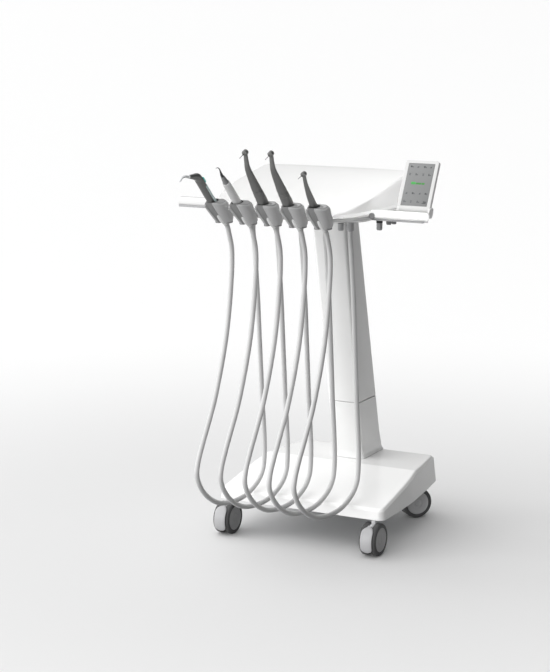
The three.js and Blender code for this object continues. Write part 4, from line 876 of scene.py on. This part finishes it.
# %% Syringe
SYRINGE_R, SET = 9.2, 3.5  # the stem's radius, and how far forward of the tail's axis it stands
STRIP_HALF = 0.6  # half the grip strip's thickness, on either side of the stem's surface
strip_turn = np.radians(np.linspace(-45, 12, 17))  # down the stem's right side
tail = turned(TAIL + [(0, 62.5)], 48, 1)
stem = neck([(54, 0.2, 9.6), (66, 0.8, 10), (80, SET - 1, 9.6), (96, SET, SYRINGE_R), (147, SET, SYRINGE_R),
             (162, SET, SYRINGE_R - 0.4), (169, SET + 0.5, 4.7)], 80, 48)
elbow = neck([(153, SET - 1, 7), (167.5, 4, 8.6), (181.5, 14, 6.2), (196, 25.5, 3.9)], 40)
tool("syringe_shell", 0, [tail, stem, elbow], "unit", dark_metal, "syringe_body")


def strip_ring(y, z, radius):
    """Out along the strip's outer face and back along its inner one, at height y of a stem that stands at z."""
    r = radius + np.repeat((STRIP_HALF, -STRIP_HALF), len(strip_turn))
    turn = np.concatenate([strip_turn, strip_turn[::-1]])
    return np.column_stack([r * np.cos(turn), np.full(len(turn), y), z + r * np.sin(turn)])


strip = [strip_ring(*row) for row in
         ((62, 0.5, 9.9), (80, SET - 1, 9.6), (96, SET, SYRINGE_R), (137, SET, SYRINGE_R))]
tool_pieces.append(build("syringe_grip_strip", flat(station(0, strip)), "unit", grip_pale))
print("grip strip", strip[-1][0, 1] - strip[0][0, 1], "mm long")

# %% Nozzle and buttons
NOZZLE_Y, NOZZLE_Z = 195, 25.5
BUTTON_Y, BUTTON_APART = 147, 3.4
BUTTON_W, BUTTON_H, BUTTON_CORNER = 5.6, 17, 2.6
BUTTON_FOOT, BUTTON_HEAD, BUTTON_EDGE = 4.9, 10.4, 1.1
nose = np.array((33.0, 22.5)) / math.hypot(33, 22.5)


def nozzle_point(distance, drop=0.0):
    """A point ahead of the elbow's end, set off square to it by drop."""
    return NOZZLE_Y + nose[0] * distance - drop * nose[1], NOZZLE_Z + nose[1] * distance + drop * nose[0]


nozzle_knots = [(*nozzle_point(*place), r) for *place, r in (
    (0.3, 3.4), (6, 3.1), (14, 2.9), (23, 1.5, 2.7), (31, 5, 2.5), (38, 12, 2.3))]
collar = pointed(turned([(0, 0), (3.9, 0), (3.9, 2.4), (3.2, 3), (0, 3)], 32, 0.3), *nozzle_point(1.5), nose)
tool("nozzle_tube", 0, [neck(nozzle_knots, 48, 24, 0.8), collar], body_of("syringe_nozzle"), nozzle_pale,
     "syringe_nozzle")
for side, x in (("left", -BUTTON_APART), ("right", BUTTON_APART)):
    outline = rounded_rect(BUTTON_W, BUTTON_H, BUTTON_CORNER, 6)
    rings = np.stack(slab_rings(outline, BUTTON_FOOT, BUTTON_HEAD, BUTTON_EDGE))
    button = np.stack([rings[..., 0] + x, rings[..., 1] + BUTTON_Y, SET - 0.8 - rings[..., 2]], -1)
    node = f"syringe_button_{side}"
    tool(f"button_{side}", 0, [button], body_of(node), teal, node)
print("syringe built")

# %% [markdown]
# The scaler has a pale sleeve with a fine grip ring, a grey nose cone and a black, hooked tip.

# %% Scaler
nose_grey = finish("nose_grey", (0.26, 0.26, 0.265), 0.35, metallic=0.4, drift=0.06)
tip_black = finish("tip_black", (0.04, 0.04, 0.042), 0.3, metallic=0.6)
sleeve_profile = TAIL + [(9.4, 66), *groove(72, 9.4, 0.3, 0.8), (9.4, 90), (8.5, 148), (8.1, 149.6), (0, 149.6)]
tool("scaler_sleeve_body", 1, [turned(sleeve_profile, 48, 0.8)], "unit", sleeve_pale, "scaler_body")
nose_cone = turned([(0, 149.2), (6.9, 149.2), (6.9, 150.4), (6.4, 152), (4.3, 168.5), (3.6, 170), (0, 170)], 40, 0.5)
build("scaler_nose", flat(station(1, nose_cone)), "unit", nose_grey)
hook = neck([(170.5, 0, 3.7), (174, 0, 3.3), (182, -1.5, 2), (191, -3, 1.2), (199, -0.5, 0.9), (205, 6, 0.5)],
            60, 20, 0.4)
tool("scaler_hook", 1, [hook], "unit", tip_black, "scaler_tip")
print("scaler built")

# %% [markdown]
# A contra-angle is an angled attachment on an electric motor. It turns freely on the motor, so the neck and the
# head are one piece on their own body, and the bur spins in the head.

# %% Motors, contra-angles and burs
HEAD_BACK, HEAD_FRONT, HEAD_R = 5, 8, 6.2
HEAD_AT = (217, -19.5, (0.34, 0.94))  # y, z and direction of a contra-angle's head
MOTOR_END = 118


def head(y, z, direction, radius):
    """A drum with a push-button cap at its back, and a small collar round the bur."""
    drum = turned([(0, -HEAD_BACK), (radius - 2.4, -HEAD_BACK), (radius - 2, -HEAD_BACK + 0.6),
                   (radius - 1.2, -HEAD_BACK + 0.6), (radius, -HEAD_BACK + 2), *groove(-0.4, radius, 0.35, 0.7),
                   (radius, HEAD_FRONT - 3), (radius - 2, HEAD_FRONT - 0.4), (2.4, HEAD_FRONT - 0.4),
                   (2.2, HEAD_FRONT), (0, HEAD_FRONT)], 36, 0.5)
    return pointed(drum, y, z, direction)


def bur(y, z, direction):
    """A shank with a waist and a fluted end, drawn as one turned profile."""
    low = HEAD_FRONT - 2.7
    profile = [(r, low + up) for r, up in
               ((0, 0), (0.8, 0), (0.8, 16), (0.5, 18), (0.9, 20.4), (0.8, 22), (0.3, 23), (0, 23))]
    return pointed(turned(profile, 16, 0.2), y, z, direction)


motor_profile = TAIL + [(11.7, 69), (11.9, 72), (11.9, 90), (11.3, 106), *groove(108, 11.2, 0.5, 1), (11, 114.5),
                        (10.2, 117.5), (9.6, MOTOR_END), (0, MOTOR_END)]
contra_knots = [(118.3, 0, 10.4), (126, 0, 10.4), (140, -0.5, 9.4), (167, -1.5, 7.6), (185, -3.5, 6.2), (200, -10, 5),
                (217, -19.5, 4.4)]
for letter, i in (("a", 2), ("b", 3)):
    motor, contra, drill = f"motor_{letter}", f"contra_angle_{letter}", f"contra_bur_{letter}"
    tool(f"{motor}_body", i, [turned(motor_profile, 56, 0.7)], "unit", dark_metal, motor)
    tool(f"contra_{letter}_body", i, [neck(contra_knots, 90, 40, 0.8), head(*HEAD_AT, HEAD_R)], body_of(contra),
         dark_metal, contra)
    tool(f"contra_{letter}_bur", i, [bur(*HEAD_AT)], body_of(drill), steel, drill)
    print("contra-angle", letter, "built")

# %% Turbine
TURBINE_HEAD_AT = (164, -11, (0.42, 0.91))
turbine_tail = turned(TAIL + [(8.5, 64), (7.4, 65), (0, 65)], 48, 0.8)
turbine_neck = neck([(52, 1, 8.4), (66, 1.5, 8.5), (86, 1.8, 7.9), (108, 1, 6.8), (128, -1, 5.4), (146, -4.5, 4.3),
                     (164, -11, 3.9)], 80, 36, 0.6)
tool("turbine_body", 4, [turbine_tail, turbine_neck, head(*TURBINE_HEAD_AT, HEAD_R - 0.4)], "unit", dark_metal,
     "turbine")
tool("turbine_bur_steel", 4, [bur(*TURBINE_HEAD_AT)], body_of("turbine_bur"), steel, "turbine_bur")
print("turbine built")

# %% [markdown]
# A twin-wheel caster has a hood between two wheels, a stem that turns in the base, and on the front pair a tread
# that is pressed by foot. Each wheel is a hub with a dark tyre, and its outer face holds a sunk grey disc.

# %% A caster's own frame
WHEEL_R, WHEEL_W, WHEEL_GAP, TRAIL = 37.5, 15, 11, 24
CASTERS = {"front_left": (-189.5, 24, 0), "front_right": (189.5, 24, 0), "rear_left": (-162, 352, -30),
           "rear_right": (162, 352, -43)}  # the stem's place, and the caster's turn in degrees


def caster(name, grid):
    """From a caster's frame, whose origin is its axle's middle, to the drawing's: trail, turn, then place."""
    x, y, turn = CASTERS[name]
    return swing(np.subtract(grid, (0, TRAIL, 0)), [0, 1], math.radians(turn), (x, y, WHEEL_R))


def wheel_grid(profile, side):
    """A profile of (radius, distance out from the wheel's middle) turned about the axle."""
    across, out, back = np.moveaxis(turned(profile, 72, 0.8), -1, 0)
    return np.stack([side * ((WHEEL_GAP + WHEEL_W) / 2 + out), across, -back], -1)


# %% Wheels
HALF_W = WHEEL_W / 2
tyre_profile = [(28, -HALF_W + 1.5), (33.5, -HALF_W), (35.8, -HALF_W + 0.4), (WHEEL_R - 0.1, -HALF_W + 3.2),
                (WHEEL_R, 0), (WHEEL_R - 0.1, HALF_W - 4), (35.6, HALF_W - 1), (33, HALF_W), (28.6, HALF_W),
                (27.6, HALF_W - 1.2)]
hub_profile = [(4.6, -HALF_W + 2), (28.2, -HALF_W + 2), (28.2, HALF_W - 1.4), (27.4, HALF_W - 0.5),
               (26.4, HALF_W - 0.5), (25.8, HALF_W - 1.3), (13, HALF_W - 1.7), (11.6, HALF_W - 1.1),
               (7, HALF_W - 1.1), (6.4, HALF_W - 1.7), (0.01, HALF_W - 1.7), (0.01, -HALF_W + 2)]
for name in CASTERS:
    for side, word in ((-1, "left"), (1, "right")):
        wheel = f"wheel_{name}_{word}"  # both the body's name and the CAD node's
        tyre, hub = (caster(name, wheel_grid(profile, side)) for profile in (tyre_profile, hub_profile))
        build(f"tyre_{name}_{word}", [(tyre, "loop")], wheel, tyre_grey, wheel)
        build(f"hub_{name}_{word}", [(hub, "loop")], wheel, disc_grey)
print(2 * len(CASTERS), "wheels, each", 2 * WHEEL_R, "mm across")

# %% Hoods
HOOD_R, BOSS_R = 35.5, 12
hood_half = WHEEL_GAP / 2 - 0.5
hood_outline = soften(arc(0, 0, HOOD_R, -40, 220, 56), 3, 3, closed=True)
web_outline = rounded_rect(24, 35, 2) + (12, 25.6)
boss_low = math.sqrt(WHEEL_R**2 - (TRAIL - BOSS_R) ** 2) + 1
ceiling = BASE_UNDERSIDE - WHEEL_R
boss_profile = [(0, boss_low), (BOSS_R - 1, boss_low), (BOSS_R, boss_low + 0.8), (BOSS_R, ceiling - 1.2),
                (BOSS_R - 0.8, ceiling - GAP), (0, ceiling - GAP)]
hood_grids = [bar(hood_outline, -hood_half, hood_half, 1.5), bar(web_outline, -hood_half, hood_half, 1.2),
              hung(turned(boss_profile, 40, 0.4), (0, TRAIL, 0))]
for name in CASTERS:
    build(f"hood_{name}", flat(*(caster(name, grid) for grid in hood_grids)), f"caster_{name}", caster_white,
          f"caster_body_{name}")
print("hoods", 2 * hood_half, "mm thick")

# %% [markdown]
# The brake tread is a curved plate with round corners that follows the wheels' front. It is drawn as rings, one
# for each height: out along the outer face and back along the inner one.

# %% Brake pedals
PEDAL_HALF, PEDAL_CORNER, PEDAL_CROWN = 14, 11, 1.2
PEDAL_INNER, PEDAL_OUTER = 39, 42.5
ARM_INNER, ARM_OUTER, ARM_HALF = 36.2, 40, 4.3
PEDAL_SPAN, ARM_SPAN = (130, 215), (118, 150)  # degrees about the axle, from the back over the top
PEDAL_LEVELS = 14  # of the tread's straight middle
pedal_high, pedal_low = (PEDAL_OUTER * math.sin(math.radians(a)) for a in PEDAL_SPAN)


def pedal_rings():
    """At height z the half width is that of a round-cornered rectangle; both faces lie on circles about the axle."""
    turn = np.linspace(0, math.pi / 2, 9)
    cut, up = PEDAL_CORNER * (1 - np.sin(turn)), PEDAL_CORNER * (1 - np.cos(turn))
    straight = np.linspace(pedal_low + PEDAL_CORNER, pedal_high - PEDAL_CORNER, PEDAL_LEVELS)[1:-1]
    heights = np.concatenate([pedal_low + up, straight, (pedal_high - up)[::-1]])
    half = np.concatenate([PEDAL_HALF - cut, np.full(len(straight), PEDAL_HALF), (PEDAL_HALF - cut)[::-1]])
    across = np.linspace(-1, 1, 13)
    outer_r, inner_r = PEDAL_OUTER - PEDAL_CROWN * across**4, np.full(len(across), PEDAL_INNER)

    def face(z, w, radius):
        """One face's line at height z and half width w: y = -sqrt(radius^2 - z^2)."""
        return np.column_stack([w * across, -np.sqrt(radius**2 - z**2), np.full(len(across), z)])

    return [np.vstack([face(z, w, outer_r), face(z, w, inner_r)[::-1]]) for z, w in zip(heights, half)]


def pedal_arm():
    """The arm over the hood: a curved strip between two angles."""
    corners = ((-ARM_HALF, ARM_OUTER), (ARM_HALF, ARM_OUTER), (ARM_HALF, ARM_INNER), (-ARM_HALF, ARM_INNER))
    turns = np.radians(np.linspace(*ARM_SPAN, 14))
    return [[(x, r * math.cos(a), r * math.sin(a)) for x, r in corners] for a in turns]


for name in ("front_left", "front_right"):
    node = f"brake_pedal_{name}"
    build(f"tread_{name}", flat(caster(name, pedal_rings()), caster(name, pedal_arm())), body_of(node), pedal_grey,
          node)
print("pedals", round(pedal_high - pedal_low), "mm tall")

# %% [markdown]
# The display is a slim white panel with a sunk screen. It stands in a low cradle on the shelf and tips on a cross
# pin. What the screen shows is made up: rows of plain dark signs and a bar in two greens, printed as flat shapes.

# %% The panel's own frame
PANEL_W, PANEL_H, PANEL_T = 80, 112, 10
PANEL_X, PANEL_TILT = 270, math.radians(27)
HINGE_Y, HINGE_Z = 21, 794
tilt_body = body_of("display_housing")


def panel(grid):
    """From the panel's frame (X right, Y back, Z up along it, origin at the pin) to the drawing's."""
    return swing(grid, [1, 2], -PANEL_TILT, (PANEL_X, HINGE_Y, HINGE_Z))


def upright_outline(width, height, radius, low):
    """A round-cornered rectangle standing up from low, in X and Z."""
    return rounded_rect(width, height, radius) + (0, low + height / 2)


def panel_ring(outline, y):
    """An outline in X and Z, set y behind the pin."""
    return np.column_stack([outline[:, 0], np.full(len(outline), y), outline[:, 1]])


# %% Housing
SCREEN_W, SCREEN_H, SCREEN_LOW = 62.4, 100, 5.5
BACK_EDGE, FRONT_EDGE = 2.2, 1.4
KNUCKLE_R, KNUCKLE_START = 8, 8 - PANEL_W / 2
outer = upright_outline(PANEL_W, PANEL_H, 5, 0.5)
centre = outer.mean(0)
window = upright_outline(SCREEN_W + 0.6, SCREEN_H + 0.6, 1.2, SCREEN_LOW - 0.3)
front = -PANEL_T / 2 - 1
back = front + PANEL_T


def drawn_in(outline, by):
    """Each point moves towards the middle by the same amount in X and in Z."""
    return outline - np.sign(outline - centre) * by


def pin_of(radius, start, end, sides, rounding):
    """A round pin along X between two places, in the panel's frame."""
    profile = [(0, 0), (radius, 0), (radius, end - start), (0, end - start)]
    return axis_x(turned(profile, sides, rounding), (start, 0, 0))


rings = [panel_ring(drawn_in(outer, BACK_EDGE), back)]
rings += [panel_ring(drawn_in(outer, BACK_EDGE * (1 - math.sin(t))), back - BACK_EDGE * (1 - math.cos(t)))
          for t in np.linspace(0.3, math.pi / 2, 5)]
rings += [panel_ring(drawn_in(outer, FRONT_EDGE * (1 - math.cos(t))), front + FRONT_EDGE * (1 - math.sin(t)))
          for t in np.linspace(0, math.pi / 2, 5)]
rings += [panel_ring(window, front), panel_ring(window, front + 1.5)]
knuckle = pin_of(KNUCKLE_R, KNUCKLE_START, PANEL_W / 2, 40, 0.8)
# painted shade: the panel wears the darker copy of the white
build("display_panel", flat(panel(rings), panel(knuckle)), tilt_body, shaded_table_white, "display_housing", CRISP)
print("panel", PANEL_W, "by", PANEL_H, "by", PANEL_T, "mm")

# %% Screen
glass = upright_outline(SCREEN_W, SCREEN_H, 1, SCREEN_LOW)
glass_rings = [panel_ring(glass, front + 1.2), panel_ring(glass, front - 0.1),
               panel_ring(drawn_in(glass, 0.3), front - 0.3)]
build("display_glass", flat(panel(glass_rings)), tilt_body, screen_grey, "display_screen")
print("screen", SCREEN_W, "by", SCREEN_H, "mm")

# %% Signs on the screen
PRINT_Y, PRINT_DEPTH = front - 0.3, 0.12
sign_dark = finish("sign_dark", (0.06, 0.063, 0.066), 0.3, drift=0.1)
sign_green = finish("sign_green", (0.06, 0.42, 0.08), 0.35, drift=0.1)
sign_deep_green = finish("sign_deep_green", (0.05, 0.27, 0.045), 0.35, drift=0.1)


def printed(name, outlines, material):
    """Flat shapes a tenth of a millimetre thick on the glass, from closed outlines in X and Z."""
    grids = [panel([panel_ring(outline, PRINT_Y), panel_ring(outline, PRINT_Y - PRINT_DEPTH)]) for outline in outlines]
    build(name, flat(*grids), tilt_body, material, sharp=math.radians(20))


def dot_sign(x, z, radius):
    """A small circle."""
    return arc(x, z, radius, 0, 345, 15)


def block_sign(x, z, width, height):
    """A small block with rounded corners."""
    return rounded_rect(width, height, min(width, height) * 0.25, 3) + (x, z)


def wedge_sign(x, z, width, height):
    """A triangle that rises to the right."""
    return np.array([(x - width / 2, z - height / 2), (x + width / 2, z - height / 2), (x + width / 2, z + height / 2)])


signs = []
for r, z in enumerate((97.5, 79.5, 35, 15.5)):
    for c, x in enumerate((-23.5, -8, 8, 22.5)):
        signs += [[dot_sign(x, z, 2.2), block_sign(x + 3.6, z - 1, 1.6, 3)],
                  [block_sign(x - 1.2, z, 2, 5), block_sign(x + 2, z - 1, 3, 1.6)],
                  [wedge_sign(x, z, 5, 4.2)],
                  [block_sign(x, z + 1.5, 4.6, 1.2), block_sign(x, z - 1.5, 2.6, 2.4)]][(r * 3 + c * 2) % 4]
signs.append(wedge_sign(22, 14.5, 11, 5.5))
printed("screen_signs", signs, sign_dark)
printed("screen_bar_left", [block_sign(-11, 58.5, 11, 6)], sign_green)
printed("screen_bar_right", [block_sign(1.5, 58, 12, 4.2), block_sign(12, 58, 7, 4.2)], sign_deep_green)
print(len(signs), "dark signs")

# %% Cradle
CHEEK, PIN_R, SILL_Z = 4.3, 3, 784.6


def hull_of_circles(big, small):
    """Two circles (y, z, radius) and the straight lines that touch both, as one outline in Y and Z."""
    gap = np.subtract(small[:2], big[:2])
    lean = math.degrees(math.atan2(gap[1], gap[0]))
    open_by = math.degrees(math.acos((big[2] - small[2]) / np.linalg.norm(gap)))
    return np.vstack([arc(*big, lean + open_by, lean + 360 - open_by, 30),
                      arc(*small, lean - open_by, lean + open_by, 14)])


left_face, right_face = PANEL_X - PANEL_W / 2, PANEL_X + PANEL_W / 2 + GAP
cheek_outline = hull_of_circles((13, 787.5, 11), (HINGE_Y - 0.5, HINGE_Z - 0.5, 6))
foot_outline = hull_of_circles((HINGE_Y, HINGE_Z - 3, 7.5), (HINGE_Y, HINGE_Z, 6.5))
sill_outline = rounded_rect(24, 3, 1) + (HINGE_Y, SILL_Z)
cradle = [bar(cheek_outline, right_face, right_face + CHEEK, 1.4),
          bar(foot_outline, left_face + 1, PANEL_X + KNUCKLE_START - 0.4, 1),
          bar(sill_outline, left_face + 1, right_face - 0.5, 0.4),
          pin_of(PIN_R, 2, 2 + PANEL_W, 32, 0.3) + (left_face, HINGE_Y, HINGE_Z)]
build("display_cradle", flat(*cradle), "unit", white, "display_bracket", CRISP)
print("cradle from X", left_face + 1, "to", right_face + CHEEK, "mm")

# %% [markdown]
# Under the table sit two hose couplings with black collars, two small ribbed regulator knobs and the five sockets
# that the hoses end in.

# %% Couplings and knobs
COUPLING_SPOTS = ((100, 5), (173.3, 52))
COUPLING_LENGTH = 27
KNOBS = ((208, 6.2, 12), (220.5, 5.2, 10))  # x, radius and height
KNOB_Y, KNOB_RIBS, KNOB_SIDES = 26, 12, 96
collar_black = finish("collar_black", (0.02, 0.02, 0.021), 0.38, drift=0.1)
knob_grey = finish("knob_grey", (0.24, 0.24, 0.245), 0.45, drift=0.08)
stem = turned([(0, 1.5), (4.8, 1.5), (6, 2.4), (6.7, 5), *groove(9, 6.7, 0.4, 0.9), (6.7, 18), (0, 18)], 40, 0.5)
ribs = turned([(0, 18), (6.6, 18), (7.4, 19), (7.4, 21), (6.9, 21.6), (7.4, 22.2), (7.4, 24), (6.9, 24.6),
               (7.4, 25.2), (7.4, 27), (0, 27)], 40, 0.3)
for i, (x, y) in enumerate(COUPLING_SPOTS, 1):
    low_end = (x, y, PAN_LOW - GAP - COUPLING_LENGTH)
    build(f"coupling_{i}", flat(hung(stem, low_end)), "unit", socket_grey_and_painted_shade, f"supply_coupling_{i}")
    build(f"collar_{i}", flat(hung(ribs, low_end)), "unit", collar_black)
for i, (x, radius, height) in enumerate(KNOBS, 1):
    a = np.linspace(0, 2 * math.pi, KNOB_SIDES, endpoint=False)
    rib = radius - 0.4 + 0.4 * np.cos(KNOB_RIBS * a)
    grid = [np.column_stack([x + rib * k * np.cos(a), KNOB_Y + rib * k * np.sin(a),
                             np.full(KNOB_SIDES, SHELF_LOW - GAP + up)])
            for up, k in ((-height, 0.82), (-9.4, 0.94), (-8.6, 1), (-1.2, 1), (0, 0.96))]
    node = f"regulator_knob_{i}"
    build(f"knob_{i}", flat(grid), body_of(node), knob_grey, node, math.radians(50))
print(len(COUPLING_SPOTS), "couplings and", len(KNOBS), "knobs")

# %% Sockets
socket = turned([(0, 0), (5.9, 0), (6.6, 0.4), (7.6, 0.9), (8.5, 3), *groove(10, 8.5, 0.5, 1), *groove(14, 8.5, 0.5, 1),
                 (8.5, 25.7), (0, 25.7)], 40, 0.4)
for i in HOLDERS:
    made = hung(socket, (holder_x(i), SOCKET_Y, SOCKET_LOW))
    build(f"socket_{i + 1}", flat(made), "unit", socket_grey_and_painted_shade, f"hose_socket_{i + 1}")
print("fittings built")

# %% [markdown]
# The studio is bright and even. A very large pale floor runs on to the horizon, paler with distance like a lit
# paper sweep. The sky is a soft dome: bright over the user's left and above, dim on the right and from below, so
# that the unit's right sides fall into grey, as they do in the photograph. A broad sun gives the soft shadow, and a
# front fill lifts everything a little. Three more fills reach only the pieces they are meant for: the table's side,
# the instruments with their holders, and the base with the column.

# %% Floor
FLOOR_HALF = 400  # metres
FADE_START, FADE_END, FLOOR_NEAR, FLOOR_FAR = 0.5, 2.6, 0.79, 1.0  # metres from the unit, and the painted brightness there
floor_mesh = bpy.data.meshes.new("floor")
floor_corners = [(x * FLOOR_HALF, y * FLOOR_HALF, 0) for x, y in ((-1, -1), (1, -1), (1, 1), (-1, 1))]
floor_mesh.from_pydata(floor_corners, [], [(0, 1, 2, 3)])
floor = add_object("floor", floor_mesh)
# painted light: the floor's colour is darker near the unit and paler with distance, standing in for the studio's light
paper = finish("pale_floor", (0.8, 0.8, 0.8), 0.8, drift=0.01, wipe=0.05, grain=300)
nodes, links = paper.node_tree.nodes, paper.node_tree.links
distance = nodes.new("ShaderNodeVectorMath")
distance.operation = "LENGTH"
links.new(nodes["Texture Coordinate"].outputs["Object"], distance.inputs[0])
fade = add_node(paper.node_tree, "ShaderNodeMapRange",
                {"From Min": FADE_START, "From Max": FADE_END, "To Min": FLOOR_NEAR, "To Max": FLOOR_FAR})
fade.interpolation_type = "SMOOTHSTEP"
links.new(distance.outputs["Value"], fade.inputs["Value"])
links.new(fade.outputs["Result"], nodes["Principled BSDF"].inputs["Base Color"])
wear(floor, paper)
floor.visible_diffuse = False
floor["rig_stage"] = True
print("floor", 2 * FLOOR_HALF, "m wide")

# %% Sky
DOME_AXIS = np.array((-0.70, -0.50, 0.50))
DOME_START, DOME_END = -0.35, 0.85  # the cosine to the axis at which the dome starts to brighten, and is full
DOME_DIM, DOME_BRIGHT = 0.07, 1.62
world = bpy.context.scene.world or bpy.data.worlds.new("studio")
bpy.context.scene.world = world
world.use_nodes = True
sky = world.node_tree
towards = sky.nodes.new("ShaderNodeTexCoord")
facing = sky.nodes.new("ShaderNodeVectorMath")
facing.operation = "DOT_PRODUCT"
facing.inputs[1].default_value = DOME_AXIS / np.linalg.norm(DOME_AXIS)
sky.links.new(towards.outputs["Generated"], facing.inputs[0])
dome = add_node(sky, "ShaderNodeMapRange",
                {"From Min": DOME_START, "From Max": DOME_END, "To Min": DOME_DIM, "To Max": DOME_BRIGHT})
sky.links.new(facing.outputs["Value"], dome.inputs["Value"])
sky.links.new(dome.outputs["Result"], sky.nodes["Background"].inputs["Strength"])
sky.nodes["Background"].inputs["Color"].default_value = (1, 1, 1, 1)
print("sky from", DOME_DIM, "to", DOME_BRIGHT)


# %% Lamps
def lamp_at(name, kind, place, aim, energy, size=None):
    """A lamp at a place in metres, turned to its aim: back is place - aim."""
    lamp = add_object(name, bpy.data.lights.new(name, kind))
    face_along(lamp, place, np.subtract(place, aim))
    lamp.data.energy = energy
    if size:
        lamp.data.size = size
    return lamp


key = lamp_at("key", "SUN", (-8, -3.5, 5), (0, 0, 0.5), 0.36)
key.data.angle = math.radians(22)
lamp_at("front_fill", "AREA", (-1.6, -4.5, 1.0), (0, 0, 0.3), 22, 1.6)
side_fill = lamp_at("side_fill", "AREA", (2.4, -1.2, 1.7), (0.24, 0.02, 0.84), 1.05, 0.5)
side_fill.data.spread = math.radians(16)
tool_fill = lamp_at("tool_fill", "AREA", (2.6, -2.0, 1.3), (0, -0.15, 0.8), 16, 1.0)
base_fill = lamp_at("base_fill", "AREA", (-0.3, -0.6, 2.2), (0.05, 0.1, 0.12), 13, 0.6)


def gathered(name, pieces):
    """A collection of pieces that a lamp lights, or that throw shadows in its light."""
    made = bpy.data.collections.new(name)
    for piece in pieces:
        made.objects.link(piece)
    return made


table_alone = gathered("table_alone", (table_shell,))
base_and_column = gathered("base_and_column", (base_shell, *sleeves))
for lamp, lit, in_the_way in ((side_fill, (table_shell, rail), table_alone),
                              (tool_fill, (*holder_pieces, *tool_pieces), table_alone),
                              (base_fill, (base_shell, *sleeves), base_and_column)):
    lamp.light_linking.receiver_collection = gathered("lit_by_" + lamp.name, lit)
    lamp.light_linking.blocker_collection = in_the_way
bpy.context.scene.view_settings.view_transform = "Standard"
print(len(bpy.data.lights), "lamps")

# %% [markdown]
# The visual model has to stay within the CAD's box and a few millimetres.

# %% Sizes and the end
low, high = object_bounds()
print("visual box, mm:", [round(1000 * v) for v in low], [round(1000 * v) for v in high])
